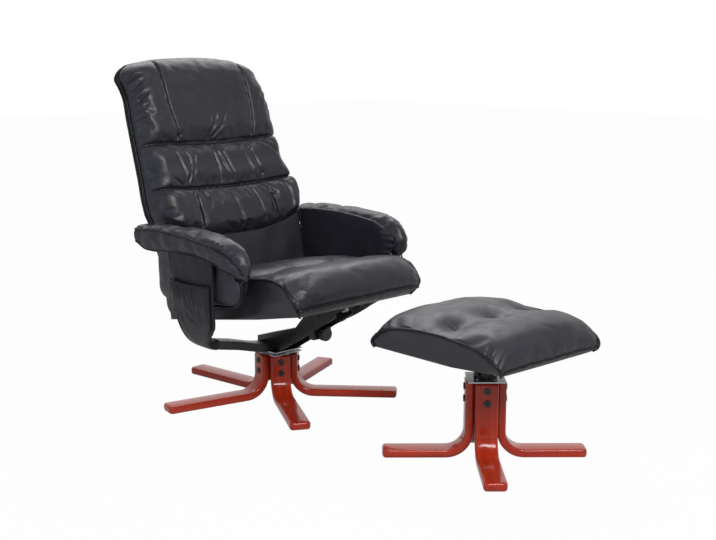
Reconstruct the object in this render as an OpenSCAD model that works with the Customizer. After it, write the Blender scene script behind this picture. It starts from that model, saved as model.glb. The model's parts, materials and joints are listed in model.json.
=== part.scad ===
/* [Leg section] */
// Width of a bentwood leg
leg_w = 58; // [40:1:70]
// Thickness of a bentwood leg
leg_t = 22; // [16:0.5:26]
// Inner radius of the bend at a leg's foot
leg_bend = 48; // [35:1:60]
// Corner radius of a leg's tip, seen from above
leg_tip_r = 12; // [4:1:20]
// Gap between neighbouring legs where they stand on the hub
leg_gap = 1.5; // [0.5:0.5:6]
// Height of a floor glide
glide_h = 2; // [2:0.5:6]
// Radius of a floor glide
glide_r = 11; // [6:1:16]
// Distance from a leg's tip to the middle of its glide
glide_inset = 28; // [18:1:60]

/* [Leg bolts] */
// Radius of a leg bolt's shank
leg_bolt_r = 4; // [3:0.5:5]
// Radius of a leg bolt's head
leg_bolt_head_r = 8.8; // [6:0.2:11]
// Height of a leg bolt's head
leg_bolt_head_h = 3.6; // [2:0.2:6]
// Radius of the socket in a leg bolt's head
leg_bolt_socket_r = 2.9; // [2:0.1:3.5]
// Length of thread that a bolt has inside the hub
leg_bolt_grip = 14; // [8:1:18]
// Distance from a leg's top to its upper bolt
leg_bolt_drop = 20; // [15:1:25]
// Distance between a leg's two bolts
leg_bolt_pitch = 32; // [24:1:34]
// Outer radius of a threaded sleeve in the hub
insert_r = 6; // [5.2:0.1:7]
// Length of a threaded sleeve
insert_len = 17; // [12:1:18]

/* [Chair base] */
// Distance from the swivel axis to a chair leg's tip
base_reach = 358; // [320:1:400]
// Height of the chair legs' upright ends
base_top = 134; // [128:1:150]
// Turn of the first chair leg about the swivel axis, degrees
base_turn = 23.5; // [0:0.5:72]
// Height of the chair hub's underside
base_hub_z = 56; // [50:1:66]

/* [Swivel bearing] */
// Side of a square bearing plate
plate_w = 104; // [96:1:120]
// Thickness of a bearing plate
plate_t = 2.5; // [2:0.1:4]
// Radius of the circle that the balls run on
race_r = 39; // [36:0.5:42]
// Width of a ball race
race_w = 11; // [9:0.5:12]
// Height of a ball race
race_h = 2; // [1.5:0.1:2.5]
// Radius of a bearing ball
ball_r = 3.2; // [3:0.05:3.6]
// Radius of the pin that holds the two plates together
pin_r = 6; // [4:0.5:8]
// Radius of the pin's heads
pin_head_r = 10; // [9:0.5:11]
// Height of a pin head
pin_head_h = 3; // [2:0.5:4]
// Radius of a plate screw
plate_screw_r = 2.5; // [2:0.25:3]
// Length of a plate screw under its head
plate_screw_len = 20; // [12:1:24]

/* [Steel frame] */
// Height of the bow's bar
bow_h = 25; // [22:1:30]
// Depth of the bow's bar, front to back
bow_d = 50; // [40:1:56]
// Rise of the bow from its middle to where its ends stand upright
bow_rise = 150; // [130:1:165]
// Thickness of the bow's upright ends
upright_t = 12; // [10:0.5:14]
// Height of the top of the upright ends
upright_top = 440; // [400:1:450]
// Thickness of the leather over the upright ends
sleeve_skin = 3.5; // [2:0.5:5]
// Outer width of the chassis channel
chassis_w = 66; // [60:1:80]
// Wall thickness of the chassis channel
chassis_t = 3; // [2:0.5:4]
// Distance that the chassis reaches behind the swivel axis
chassis_rear = 50; // [40:1:52]
// Height of the chassis wall at its rear
chassis_rear_h = 33; // [28:1:50]
// Distance in front of the axis where the chassis climbs more steeply
kink_forward = 120; // [100:1:130]
// Height of the chassis where it climbs more steeply
kink_z = 230; // [215:1:238]
// Depth of the chassis wall at its front end
chassis_nose = 16; // [12:1:25]

/* [Seat slide] */
// Slope of the seat, rising to the front, degrees
seat_tilt = 9.7; // [6:0.1:12]
// Height of the seat's underside above the swivel axis
seat_z = 269.4; // [262:0.2:280]
// Distance in front of the axis to the front end of the guide plate
guide_front = 290; // [270:1:300]
// Length of the guide plate
guide_len = 120; // [100:1:140]
// Width of the guide plate
guide_w = 100; // [94:1:120]
// Thickness of the guide plate
guide_t = 3; // [2:0.5:4]
// Width of the nylon guide block
block_w = 56; // [40:1:60]
// Length of the nylon guide block
block_len = 100; // [60:1:110]
// Height of the slide rails
rail_h = 10; // [8:0.5:14]
// Width of a slide rail
rail_w = 17; // [12:0.5:20]
// Length of a slide rail
rail_len = 240; // [220:1:260]
// Distance in front of the axis to the front end of the rails
rail_front = 328; // [320:1:332]
// Gap between sliding faces
slide_gap = 0.5; // [0.3:0.1:1]
// Width of the bar that holds the seat down
hold_w = 24; // [16:1:30]
// Thickness of the bar that holds the seat down
hold_t = 3; // [2.5:0.5:4]
// Distance that the seat can slide before its rear stop
seat_travel = 62; // [58:1:70]

/* [Lock knob] */
// Radius of the lock knob
knob_r = 20; // [16:0.5:24]
// Length of the lock knob
knob_len = 20; // [14:1:26]
// Height of the knob's axis
knob_z = 223; // [218:1:228]
// Distance from the swivel axis to the knob's rear face
knob_forward = 201; // [200:1:210]
// Radius of the threaded spindle
spindle_r = 5; // [4:0.5:6]
// Length of the threaded spindle behind the knob
spindle_len = 44; // [40:1:56]
// Length of the clamp block
clamp_t = 22; // [16:1:26]
// Distance from the knob's rear face to the clamp block
clamp_back = 12; // [9:1:16]
// Width of the clamp block
clamp_w = 22; // [16:1:24]
// Height of the lug that carries the spindle
lug_h = 30; // [24:1:34]
// Gap that the clamp block closes when the knob is tightened
clamp_gap = 0.6; // [0.5:0.1:1]

/* [Seat] */
// Width of the seat board
seat_w = 488; // [440:1:492]
// Length of the seat cushion
seat_len = 595; // [585:1:605]
// Distance that the seat reaches behind the swivel axis
seat_rear = 205; // [198:1:212]
// Height of the seat's boxed sides
seat_h = 109; // [100:1:112]
// Distance that the seat's boxed sides are drawn in
seat_draw = 4; // [0:0.5:8]
// Distance that the sides are tucked in under the front corners
seat_tuck = 34; // [0:1:40]
// Depth of the seat's sewn tufts
seat_tuft = 9; // [0:0.5:15]
// Thickness of the seat board
board_t = 15; // [12:0.5:18]
// Distance from the seat cushion's front to the board inside it
board_front_in = 56; // [40:1:70]
// Distance from the seat cushion's rear to the board inside it
board_rear_in = 77; // [70:1:90]
// Thickness of the cover under a board
dust_t = 1.5; // [1:0.25:2.5]

/* [Back] */
// Lean of the back from upright, degrees
back_tilt = 20; // [16:0.5:24]
// Distance of the back's pivots behind the swivel axis
pivot_y = 185; // [175:1:190]
// Height of the back's pivots
pivot_z = 455; // [448:1:462]
// Greatest width of the back
back_w = 524; // [500:1:540]
// Distance from the pivots to the top of the back, along it
back_up = 576; // [540:1:600]
// Distance from the pivots to the bottom of the cushion, along it
back_down = 106; // [100:1:108]
// Depth of the back cushion at its crown
back_depth = 64; // [55:1:70]
// Depth of the seams across the back
back_seam = 17; // [5:1:25]
// Distance from the pivots to the rear face of the back
shell_rear = 60; // [52:1:62]
// Thickness of the rear shell
shell_t = 26; // [20:1:30]
// Thickness of the board in the rear shell
back_board_t = 12; // [9:0.5:15]
// Distance from the rear shell's edge to the board in it
back_board_inset = 26; // [20:1:60]
// Drop of the back's top edge from its middle to its corners
top_drop = 30; // [15:1:40]

/* [Back pivots] */
// Thickness of a side bracket of the back
bracket_t = 4; // [3:0.5:5]
// Radius of a bracket's round ends
bracket_r = 16; // [14:1:20]
// Distance from the back's pivots down to its link pins
link_drop = 130; // [125:1:135]
// Radius of a pivot pin
pivot_r = 6; // [5:0.5:8]
// Radius of a link pin
link_r = 5; // [4:0.5:6]
// Gap between the side bracket and the plate beside it
side_gap = 1.5; // [1:0.25:2]
// Thickness of a seat side plate
side_plate_t = 2.5; // [2:0.25:3]
// Free height above and below a link pin in its slot
slot_play = 4.5; // [4:0.5:6]

/* [Arms] */
// Distance from the seat's side to an arm's inner face
arm_gap = 20; // [17:1:30]
// Thickness of an arm panel
arm_t = 62; // [55:1:70]
// Distance that an arm pad reaches behind the swivel axis
arm_rear = 226; // [215:1:240]
// Length of an arm pad
arm_len = 466; // [440:1:490]
// Height of an arm pad's middle line at its highest
arm_z = 506; // [500:1:515]
// Height of an arm pad's section
pad_h = 74; // [66:1:80]
// Width of an arm pad's section
pad_w = 82; // [76:1:90]
// Distance in front of the axis to an arm panel's front
panel_front = 216; // [210:1:225]
// Distance behind the axis to an arm panel's rear
panel_rear = 135; // [125:1:150]
// Height of an arm panel's bottom at its front
panel_z = 352; // [345:1:360]
// Drop of an arm panel's bottom from its front to its rear
panel_drop = 28; // [0:1:35]
// Radius of an arm panel's lower corners
panel_r = 24; // [15:1:40]
// Gap between an arm pad and the panel below it
pad_gap = 0.5; // [0.3:0.1:2]
// Thickness of the plywood board in an arm
arm_board_t = 18; // [12:1:22]
// Distance from an arm panel's edges to the board in it
arm_board_inset = 22; // [15:1:30]
// Distance in front of the axis to the front of the board in an arm
arm_board_front = 130; // [110:1:140]
// Distance in front of the axis to the sleeve's front edge
sleeve_front = 113; // [105:1:120]
// Width of the sleeve at its top
sleeve_w = 176; // [165:1:190]
// Height of the sleeve's lower end
sleeve_z = 205; // [200:1:212]
// Height of the sleeve's upper end
sleeve_top = 462; // [450:1:464]
// Radius of an arm bolt
arm_bolt_r = 4; // [3:0.5:5]
// Distance between an upright's two bolts
arm_bolt_pitch = 50; // [30:1:60]
// Thickness of the plate that carries a pivot at the arm's rear
arm_plate_t = 5; // [4:0.5:6]
// Height of this plate at the pivot
arm_plate_h = 18; // [16:1:22]
// Distance that this plate reaches into the arm
arm_plate_grip = 80; // [60:1:100]

/* [Magazine pocket] */
// Depth of the magazine pocket
pocket_d = 12; // [9:0.5:16]
// Thickness of the pocket's leather
pocket_t = 2; // [1.5:0.25:2.5]
// Height of the pocket's hem
pocket_top = 391; // [370:1:400]
// Height of the pocket's bottom
pocket_z = 262; // [255:1:275]

/* [Footstool] */
// Distance from the swivel axis forward to the footstool's middle
stool_forward = 777; // [750:1:900]
// Distance that the footstool stands to the sitter's left
stool_aside = 29; // [-40:1:60]
// Distance from the footstool's middle to a leg's tip
stool_reach = 261; // [230:1:280]
// Height of the footstool legs' upright ends
stool_top = 205; // [180:1:225]
// Turn of the first footstool leg, degrees
stool_turn = 48; // [0:0.5:90]
// Height of the footstool hub's underside
stool_hub_z = 92; // [60:1:110]
// Width of the footstool cushion
stool_w = 394; // [360:1:420]
// Length of the footstool cushion
stool_len = 420; // [380:1:440]
// Height of the footstool cushion's underside
stool_z = 284; // [270:1:300]
// Height of the footstool cushion's boxed sides
stool_h = 72; // [60:1:85]
// Distance that the footstool's boxed sides are drawn in
stool_draw = 3; // [0:0.5:6]
// Depth of the footstool's sewn tufts
stool_tuft = 13; // [0:0.5:20]
// Distance from the footstool cushion's sides to the board inside it
stool_board_in = 22; // [18:1:40]
// Width of the footstool's square post
post_w = 42; // [34:1:48]
// Wall thickness of the footstool's post
post_wall = 3; // [2:0.5:4]
// Width of the flange on the footstool's post
flange_w = 190; // [150:1:220]
// Thickness of the flange and the gussets
flange_t = 3; // [2:0.5:5]
// Width of the zinc plate on the footstool's hub
stool_plate_w = 96; // [80:1:100]
// Turn of the footstool from square to the chair, degrees
stool_yaw = -2; // [-5:0.5:5]

/* [Hidden] */

LEATHER = "#2a2b30";
WOOD = "#8c3b27";
STEEL = "#1c1c1f";
ZINC = "#b9bcc0";
PLY = "#c8a878";
NYLON = "#3a3a3c";

$fn = 48;
// Running clearance between a pin and its bore
fit = 0.05;
// Overrun of every cut past the face that it opens
cut = 1;
// Clearance of a soft piece from its neighbour on the same body
soft_gap = 0.4;
base_legs = 5;
stool_legs = 4;
balls = 16;

base_apothem = (leg_w + leg_gap) / 2 / tan(180 / base_legs);
stool_apothem = (leg_w + leg_gap) / 2 / tan(180 / stool_legs);

// Levels of the swivel bearing, from the hub up
lower_plate_z = base_top;
race_gap = 2 * (ball_r + fit);
upper_plate_z = lower_plate_z + plate_t + race_gap;
ball_z = lower_plate_z + plate_t + race_gap / 2;
chassis_z = upper_plate_z + plate_t;
plate_screw_share = 0.36;
plate_screw_at = plate_screw_share * race_r;
plate_screw_head_r = 1.7 * plate_screw_r;
plate_screw_head_h = 0.8 * plate_screw_r;

bow_z = chassis_z;
arm_in = seat_w / 2 + arm_gap;
sleeve_in = arm_in + arm_t;
sleeve_t = upright_t + 2 * sleeve_skin;
sleeve_out = sleeve_in + sleeve_t;
upright_x = sleeve_in + sleeve_skin;

// The seat's own frame: y along its slope, z square to it
function seat_place(y, z) = [
    y * cos(seat_tilt) + z * sin(seat_tilt),
    seat_z - y * sin(seat_tilt) + z * cos(seat_tilt)];
function seat_local(y, z) = [
    y * cos(seat_tilt) - (z - seat_z) * sin(seat_tilt),
    y * sin(seat_tilt) + (z - seat_z) * cos(seat_tilt)];
guide_z = -rail_h - slide_gap - guide_t;
guide_rear = guide_front - guide_len;
hold_z = guide_z - chassis_t - slide_gap;
link_at = seat_local(pivot_y, pivot_z - link_drop);
side_plate_in = seat_w / 2;
bracket_in = side_plate_in + side_plate_t + side_gap;
back_half_low = side_plate_in;

// Where the whole set stands: its box is centred on the origin
corner_share = 0.9;
set_front = -stool_forward - (stool_len * cos(stool_yaw) - corner_share * stool_w * sin(stool_yaw)) / 2;
set_rear = pivot_y + shell_rear * cos(back_tilt) + back_up * sin(back_tilt);
chair_y = -(set_front + set_rear) / 2;

// Smooth curve through points, with steps in each span
function blend_pt(a, b, c, d, t) = 0.5 * (2 * b + (c - a) * t
    + (2 * a - 5 * b + 4 * c - d) * t * t + (3 * b - a - 3 * c + d) * t * t * t);
function curve(p, steps) = [for (i = [0 : len(p) - 2]) for (k = [0 : steps - 1])
    blend_pt(p[max(i - 1, 0)], p[i], p[i + 1], p[min(i + 2, len(p) - 1)], k / steps)];
function arc(cx, cy, r, a0, a1, n) = [for (i = [0 : n])
    [cx + r * cos(a0 + (a1 - a0) * i / n), cy + r * sin(a0 + (a1 - a0) * i / n)]];
function ease(t) = t <= 0 ? 0 : t >= 1 ? 1 : t * t * (3 - 2 * t);
function root(v, e) = sign(v) * pow(abs(v), e);
function total(v, i = 0) = i >= len(v) ? 0 : v[i] + total(v, i + 1);

// Closed skin through rings of points, each end closed on one middle point
module loft(rings, first, last) {
    n = len(rings);
    m = len(rings[0]);
    walls = [for (i = [0 : n - 2]) for (j = [0 : m - 1]) let (k = (j + 1) % m)
        each [[i * m + j, (i + 1) * m + j, i * m + k],
            [i * m + k, (i + 1) * m + j, (i + 1) * m + k]]];
    ends = [for (j = [0 : m - 1]) let (k = (j + 1) % m)
        each [[n * m, j, k], [n * m + 1, (n - 1) * m + k, (n - 1) * m + j]]];
    polyhedron(points = concat([for (r = rings) each r], [first, last]),
        faces = concat(walls, ends), convexity = 6);
}

module at_chair() translate([0, chair_y, 0]) children();
module at_seat() at_chair() translate([0, 0, seat_z]) rotate([-seat_tilt, 0, 0]) children();
module at_back() at_chair() translate([0, pivot_y, pivot_z]) rotate([-back_tilt, 0, 0]) children();
module at_stool() translate([stool_aside, chair_y - stool_forward, 0]) rotate(stool_yaw)
    children();
// Left is the sitter's left; the right side is its mirror image
module on_side(side) at_chair() mirror([side == "right" ? 1 : 0, 0, 0]) children();
// A flat outline drawn in y and z, given a thickness along x
module slab(x0, x1) translate([x0, 0, 0]) rotate([90, 0, 90]) linear_extrude(x1 - x0) children();

module box_between(low, high) translate(low) cube(high - low);

// Legs
module leg_outline(reach, top, apothem) {
    outer = leg_bend + leg_t;
    cx = apothem + outer;
    cz = glide_h + outer;
    translate([apothem, cz]) square([leg_t, top - cz]);
    translate([cx, glide_h]) square([reach - cx, leg_t]);
    intersection() {
        difference() {
            translate([cx, cz]) circle(outer, $fn = 96);
            translate([cx, cz]) circle(leg_bend, $fn = 96);
        }
        translate([apothem, glide_h]) square(outer);
    }
}
module leg_plan(reach) {
    translate([0, -leg_w / 2]) square([reach - leg_tip_r, leg_w]);
    translate([0, leg_tip_r - leg_w / 2]) square([reach, leg_w - 2 * leg_tip_r]);
    for (s = [-1, 1]) translate([reach - leg_tip_r, s * (leg_w / 2 - leg_tip_r)])
        circle(leg_tip_r);
}
module bolt_places(top) for (k = [0, 1])
    translate([0, 0, top - leg_bolt_drop - k * leg_bolt_pitch]) rotate([0, 90, 0]) children();
module leg(reach, top, apothem) color(WOOD) difference() {
    intersection() {
        rotate([90, 0, 0]) linear_extrude(leg_w, center = true) leg_outline(reach, top, apothem);
        linear_extrude(top) leg_plan(reach);
    }
    bolt_places(top) cylinder(r = leg_bolt_r + fit, h = apothem + leg_t + cut);
}
module around(count, turn) for (i = [0 : count - 1]) rotate(turn + i * 360 / count) children();
module hub(count, turn, apothem, bottom, top) difference() {
    rotate(turn + 180 / count) translate([0, 0, bottom])
        cylinder(r = apothem / cos(180 / count), h = top - bottom, $fn = count);
    around(count, turn) bolt_places(top)
        translate([0, 0, apothem - insert_len]) cylinder(r = insert_r, h = insert_len + cut);
}
module leg_bolts(count, turn, apothem, top) color(STEEL) around(count, turn) bolt_places(top) {
    difference() {
        translate([0, 0, apothem + leg_t]) cylinder(r = leg_bolt_head_r, h = leg_bolt_head_h);
        translate([0, 0, apothem + leg_t + leg_bolt_head_h / 3])
            cylinder(r = leg_bolt_socket_r, h = leg_bolt_head_h, $fn = 6);
    }
    translate([0, 0, apothem - leg_bolt_grip]) cylinder(r = leg_bolt_r, h = leg_bolt_grip + leg_t);
}
module leg_sleeves(count, turn, apothem, top) color(ZINC) around(count, turn) bolt_places(top)
    difference() {
        translate([0, 0, apothem - insert_len]) cylinder(r = insert_r, h = insert_len);
        translate([0, 0, apothem - insert_len - cut])
            cylinder(r = leg_bolt_r + fit, h = insert_len + 2 * cut);
    }
module glides(count, turn, reach) color(NYLON) around(count, turn)
    translate([reach - glide_inset, 0, 0]) cylinder(r = glide_r, h = glide_h);

// Chair base
module base_leg(i) at_chair() rotate(base_turn + i * 360 / base_legs)
    leg(base_reach, base_top, base_apothem);
module base_hub() at_chair() color(WOOD) difference() {
    hub(base_legs, base_turn, base_apothem, base_hub_z, base_top);
    translate([0, 0, base_top - pin_head_h]) cylinder(r = pin_head_r, h = pin_head_h + cut);
    for (x = [-1, 1], y = [-1, 1])
        translate([x * plate_screw_at, y * plate_screw_at, base_top - plate_screw_len + plate_t])
            cylinder(r = plate_screw_r, h = plate_screw_len);
}
module base_leg_bolts() at_chair() leg_bolts(base_legs, base_turn, base_apothem, base_top);
module base_leg_sleeves() at_chair() leg_sleeves(base_legs, base_turn, base_apothem, base_top);
module base_glides() at_chair() glides(base_legs, base_turn, base_reach);

// Swivel bearing
module race(z) difference() {
    translate([0, 0, z]) rotate_extrude($fn = 96) translate([race_r - race_w / 2, 0])
        square([race_w, race_h]);
    translate([0, 0, ball_z]) rotate_extrude($fn = 96) translate([race_r, 0])
        circle(ball_r + fit);
}
module bearing_plate(z) translate([-plate_w / 2, -plate_w / 2, z])
    cube([plate_w, plate_w, plate_t]);
module swivel_lower_plate() at_chair() color(ZINC) {
    difference() {
        bearing_plate(lower_plate_z);
        translate([0, 0, lower_plate_z - cut]) cylinder(r = pin_r, h = plate_t + 2 * cut);
        for (x = [-1, 1], y = [-1, 1])
            translate([x * plate_screw_at, y * plate_screw_at, lower_plate_z - cut])
                cylinder(r = plate_screw_r, h = plate_t + 2 * cut);
    }
    race(lower_plate_z + plate_t);
}
module swivel_upper_plate() at_chair() color(ZINC) {
    difference() {
        bearing_plate(upper_plate_z);
        translate([0, 0, upper_plate_z - cut]) cylinder(r = pin_r + fit, h = plate_t + 2 * cut);
    }
    race(upper_plate_z - race_h);
}
module swivel_balls() at_chair() color(ZINC) for (i = [0 : balls - 1]) rotate(i * 360 / balls)
    translate([race_r, 0, ball_z]) sphere(ball_r);
module swivel_pin() at_chair() color(ZINC) {
    translate([0, 0, base_top - pin_head_h]) cylinder(r = pin_head_r, h = pin_head_h);
    translate([0, 0, base_top]) cylinder(r = pin_r, h = chassis_z + 2 * fit - base_top);
    translate([0, 0, chassis_z + 2 * fit]) cylinder(r = pin_head_r, h = pin_head_h);
}
module swivel_plate_screws() at_chair() color(STEEL) for (x = [-1, 1], y = [-1, 1])
    translate([x * plate_screw_at, y * plate_screw_at, lower_plate_z + plate_t]) {
        cylinder(r = plate_screw_head_r, h = plate_screw_head_h);
        translate([0, 0, -plate_screw_len]) cylinder(r = plate_screw_r, h = plate_screw_len);
    }

// Outline of a bar along a line of points, each with its half thickness
function tangent(line, i) = let (a = line[max(i - 1, 0)], b = line[min(i + 1, len(line) - 1)],
    d = [b[0] - a[0], b[1] - a[1]]) d / norm(d);
function beside(line, i, side) = let (t = tangent(line, i))
    [line[i][0] - side * t[1] * line[i][2], line[i][1] + side * t[0] * line[i][2]];
function ribbon(line) = concat([for (i = [0 : len(line) - 1]) beside(line, i, -1)],
    [for (i = [len(line) - 1 : -1 : 0]) beside(line, i, 1)]);

// Steel frame. Each row: place along the half width and the rise, and thickness
bow_shares = [[0, 0, 1], [0.16, 0, 1], [0.3, 0.055, 1], [0.49, 0.17, 1], [0.7, 0.265, 1],
    [0.8, 0.345, 0.96], [0.89, 0.475, 0.84], [0.955, 0.66, 0.66], [0.992, 0.85, 0.52]];
upright_mid = upright_x + upright_t / 2;
bow_bends = [for (r = bow_shares) [r[0] * upright_mid, bow_z + bow_h / 2 + r[1] * bow_rise,
    r[2] * bow_h / 2]];
bow_line = concat([for (p = curve(bow_bends, 2)) [p[0], max(p[1], bow_z + bow_h / 2), p[2]]],
    [[upright_mid, bow_z + bow_h / 2 + bow_rise, upright_t / 2], [upright_mid, upright_top, upright_t / 2]]);
module bow_shape(depth, grow) for (s = [0, 1]) mirror([s, 0, 0])
    translate([0, depth / 2, 0]) rotate([90, 0, 0]) linear_extrude(depth)
        polygon(ribbon([for (p = bow_line) [p[0], p[1], p[2] + grow]]));
module arm_bolt_places() for (k = [0, 1])
    translate([0, 0, upright_top - (k + 0.5) * arm_bolt_pitch]) rotate([0, 90, 0]) children();
module steel_bow() at_chair() color(STEEL) difference() {
    bow_shape(bow_d, 0);
    for (s = [0, 1]) mirror([s, 0, 0]) arm_bolt_places()
        cylinder(r = arm_bolt_r + fit, h = sleeve_out);
    translate([0, 0, bow_z - cut]) cylinder(r = pin_head_r + cut, h = pin_head_h + 2 * cut);
}
climb_low = [-plate_w / 2, chassis_z];
climb_high = seat_place(-guide_front, guide_z - chassis_nose);
climb_slope = (climb_high[1] - climb_low[1]) / (climb_high[0] - climb_low[0]);
function climb(y) = climb_low[1] + climb_slope * (y - climb_low[0]);
lug_front = cut - knob_forward;
lug_rear = lug_front + knob_len;
lug_z = knob_z - lug_h / 2;
module chassis_outline() polygon([[chassis_rear, chassis_z], [bow_d / 2, chassis_z],
    [bow_d / 2, bow_z + bow_h], [-bow_d / 2, bow_z + bow_h], [-bow_d / 2, chassis_z], climb_low,
    [lug_rear, climb(lug_rear)], [lug_rear, lug_z], [lug_front, lug_z],
    [lug_front, climb(lug_front)], climb_high, seat_place(-guide_front, guide_z),
    seat_place(-guide_rear, guide_z), [-kink_forward, kink_z],
    [chassis_rear, chassis_z + chassis_rear_h]]);
module chassis() at_chair() color(STEEL) {
    difference() {
        slab(-chassis_w / 2, chassis_w / 2) chassis_outline();
        translate([0, 0, -chassis_t])
            slab(chassis_t - chassis_w / 2, chassis_w / 2 - chassis_t) chassis_outline();
        translate([0, -cut, -chassis_t])
            slab(chassis_t - chassis_w / 2, chassis_w / 2 - chassis_t) chassis_outline();
        hold_slot();
    }
    difference() {
        box_between([-chassis_w / 2, lug_front, lug_z],
            [chassis_w / 2, lug_front + chassis_t, knob_z + lug_h / 2]);
        translate([0, lug_front - cut, knob_z]) rotate([-90, 0, 0])
            cylinder(r = spindle_r + fit, h = chassis_t + 2 * cut);
    }
}
// Way through the top of the chassis for the bar that holds the seat down
module hold_slot() translate([0, 0, seat_z]) rotate([-seat_tilt, 0, 0])
    box_between([-hold_w / 2 - 2 * slide_gap, -guide_rear - cut, hold_z - 2 * hold_t],
        [hold_w / 2 + 2 * slide_gap, seat_travel, cut]);
module guide_plate() at_seat() color(STEEL) box_between([-guide_w / 2, -guide_front, guide_z],
    [guide_w / 2, -guide_rear, guide_z + guide_t]);
module guide_block() at_seat() color(NYLON)
    box_between([-block_w / 2, -guide_front + (guide_len - block_len) / 2, guide_z + guide_t],
        [block_w / 2, -guide_rear - (guide_len - block_len) / 2, -slide_gap]);
stop_t = 2 * hold_t;
module hold_down_bar() at_seat() color(STEEL)
    box_between([-hold_w / 2, -guide_front - stop_t - slide_gap, hold_z - hold_t],
        [hold_w / 2, seat_travel - guide_rear + stop_t, hold_z]);
module seat_stops() at_seat() color(ZINC) for (y = [-guide_front - stop_t - slide_gap,
    seat_travel - guide_rear])
    box_between([-hold_w / 2, y, hold_z], [hold_w / 2, y + stop_t, 0]);

// Lock
module along_knob(y) at_chair() translate([0, y, knob_z]) rotate([90, 0, 0]) children();
module lock_knob() color(STEEL) along_knob(-knob_forward) difference() {
    rotate_extrude($fn = 64) polygon(concat([[0, 0], [0.6 * knob_r, 0], [knob_r, 0.15 * knob_len]],
        arc(knob_r - 0.2 * knob_len, 0.8 * knob_len, 0.2 * knob_len, 0, 90, 5), [[0, knob_len]]));
    for (i = [0 : 11]) rotate(i * 30) translate([1.12 * knob_r, 0, 0.2 * knob_len])
        cylinder(r = 0.2 * knob_r, h = knob_len, $fn = 24);
}
module lock_spindle() color(ZINC) along_knob(spindle_len - knob_forward)
    cylinder(r = spindle_r, h = spindle_len);
// The block's sloping top lies along the hold-down bar
clamp_front = clamp_back - knob_forward;
module clamp_outline() polygon([[clamp_front, lug_z + chassis_t],
    [clamp_front + clamp_t, lug_z + chassis_t],
    [clamp_front + clamp_t, clamp_top(clamp_front + clamp_t)],
    [clamp_front, clamp_top(clamp_front)]]);
function clamp_top(y) = seat_z - y * tan(seat_tilt)
    + (hold_z - hold_t - clamp_gap) / cos(seat_tilt);
module clamp_block() at_chair() color(ZINC) difference() {
    slab(-clamp_w / 2, clamp_w / 2) clamp_outline();
    translate([0, clamp_front - cut, knob_z]) rotate([-90, 0, 0])
        cylinder(r = spindle_r + fit, h = clamp_t + 2 * cut);
}

// Seat. Each row: place along the length and height, at the boxed side and then at the middle
seat_bottom_shares = [[0.11, 0, 0.11, 0], [0.3, 0, 0.3, 0], [0.5, 0, 0.5, 0],
    [0.7, 0, 0.7, 0], [0.85, 0, 0.85, 0]];
seat_shares = [[0.928, 0, 0.935, 0], [0.95, 0.13, 0.975, 0.13], [0.962, 0.38, 0.999, 0.4],
    [0.956, 0.62, 0.991, 0.67], [0.936, 0.82, 0.958, 0.9], [0.897, 0.945, 0.91, 1.06],
    [0.81, 1.01, 0.84, 1.15], [0.655, 1.02, 0.655, 1.17], [0.461, 1, 0.461, 1.11],
    [0.235, 0.97, 0.235, 0.99], [0.073, 0.936, 0.073, 0.936], [0.011, 0.807, 0.011, 0.807],
    [0, 0.5, 0, 0.5], [0.006, 0.3, 0.006, 0.3], [0.03, 0.15, 0.03, 0.15],
    [0.066, 0.06, 0.066, 0.06]];
// Stations across a cushion, from its middle out to its boxed side
across_shares = [0, 0.12, 0.25, 0.38, 0.51, 0.64, 0.76, 0.86, 0.93, 0.975, 1];
function crown(u) = pow(1 - pow(abs(u), 2.4), 0.55);
function mixed(row, c) = [row[0] + (row[2] - row[0]) * c, row[1] + (row[3] - row[1]) * c];
function profile(bottom, shares, c) = concat([for (r = bottom) mixed(r, c)],
    curve([for (r = shares) mixed(r, c)], 3));
stations = concat([for (i = [len(across_shares) - 1 : -1 : 1]) -across_shares[i]], across_shares);
// Dent of a sewn tuft at a distance given as a share of its reach
function dent(d) = exp(-d * d);
seat_tuft_shares = [-0.53, 0, 0.53];
seat_tuft_row = 0.69;
tuft_reach = 46;
crease_reach = 13;
function dents(x, y, xs, depth) = depth * (total([for (t = xs)
    dent(norm([x - t, y]) / tuft_reach)]) + 0.35 * dent(y / crease_reach));
function seat_point(u, p) = let (
    y = seat_rear - p[0] * seat_len,
    draw = seat_draw * (1 - pow(2 * p[0] - 1, 2)) * (1 - abs(2 * min(p[1], 1) - 1)),
    tuck = seat_tuck * pow(max(0, 1 - 2 * p[1]), 2) * ease((p[0] - 0.72) / 0.2),
    x = u * (seat_w / 2 - soft_gap - draw - tuck),
    row = y - (seat_rear - seat_tuft_row * seat_len),
    low = p[1] > 0.9 ? dents(x, row, seat_tuft_shares * seat_w / 2, seat_tuft) * crown(u) : 0)
    [x, y, p[1] * seat_h - low];
// The board narrows to the front, inside the tucked corners
board_narrow_share = 0.82;
seat_board_front = seat_rear - seat_len + board_front_in;
seat_board_rear = seat_rear - board_rear_in;
module seat_board_outline(grow) {
    wide = seat_w / 2 + grow;
    narrow = board_narrow_share * seat_w / 2 + grow;
    bend = seat_board_front + seat_len / 4;
    polygon([[-wide, seat_board_rear + grow], [-wide, bend], [-narrow, seat_board_front - grow],
        [narrow, seat_board_front - grow], [wide, bend], [wide, seat_board_rear + grow]]);
}
module seat_cushion() color(LEATHER) at_seat() difference() {
    loft([for (u = stations) [for (p = profile(seat_bottom_shares, seat_shares, crown(u)))
        seat_point(u, p)]],
        [seat_draw - seat_w / 2, seat_rear - seat_len / 2, seat_h / 2],
        [seat_w / 2 - seat_draw, seat_rear - seat_len / 2, seat_h / 2]);
    translate([0, 0, -cut]) linear_extrude(dust_t + board_t + soft_gap + cut)
        seat_board_outline(soft_gap);
}
module seat_board() color(PLY) at_seat() translate([0, 0, dust_t]) linear_extrude(board_t)
    seat_board_outline(0);
module seat_dust_cover() color(NYLON) at_seat() linear_extrude(dust_t) seat_board_outline(0);
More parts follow.
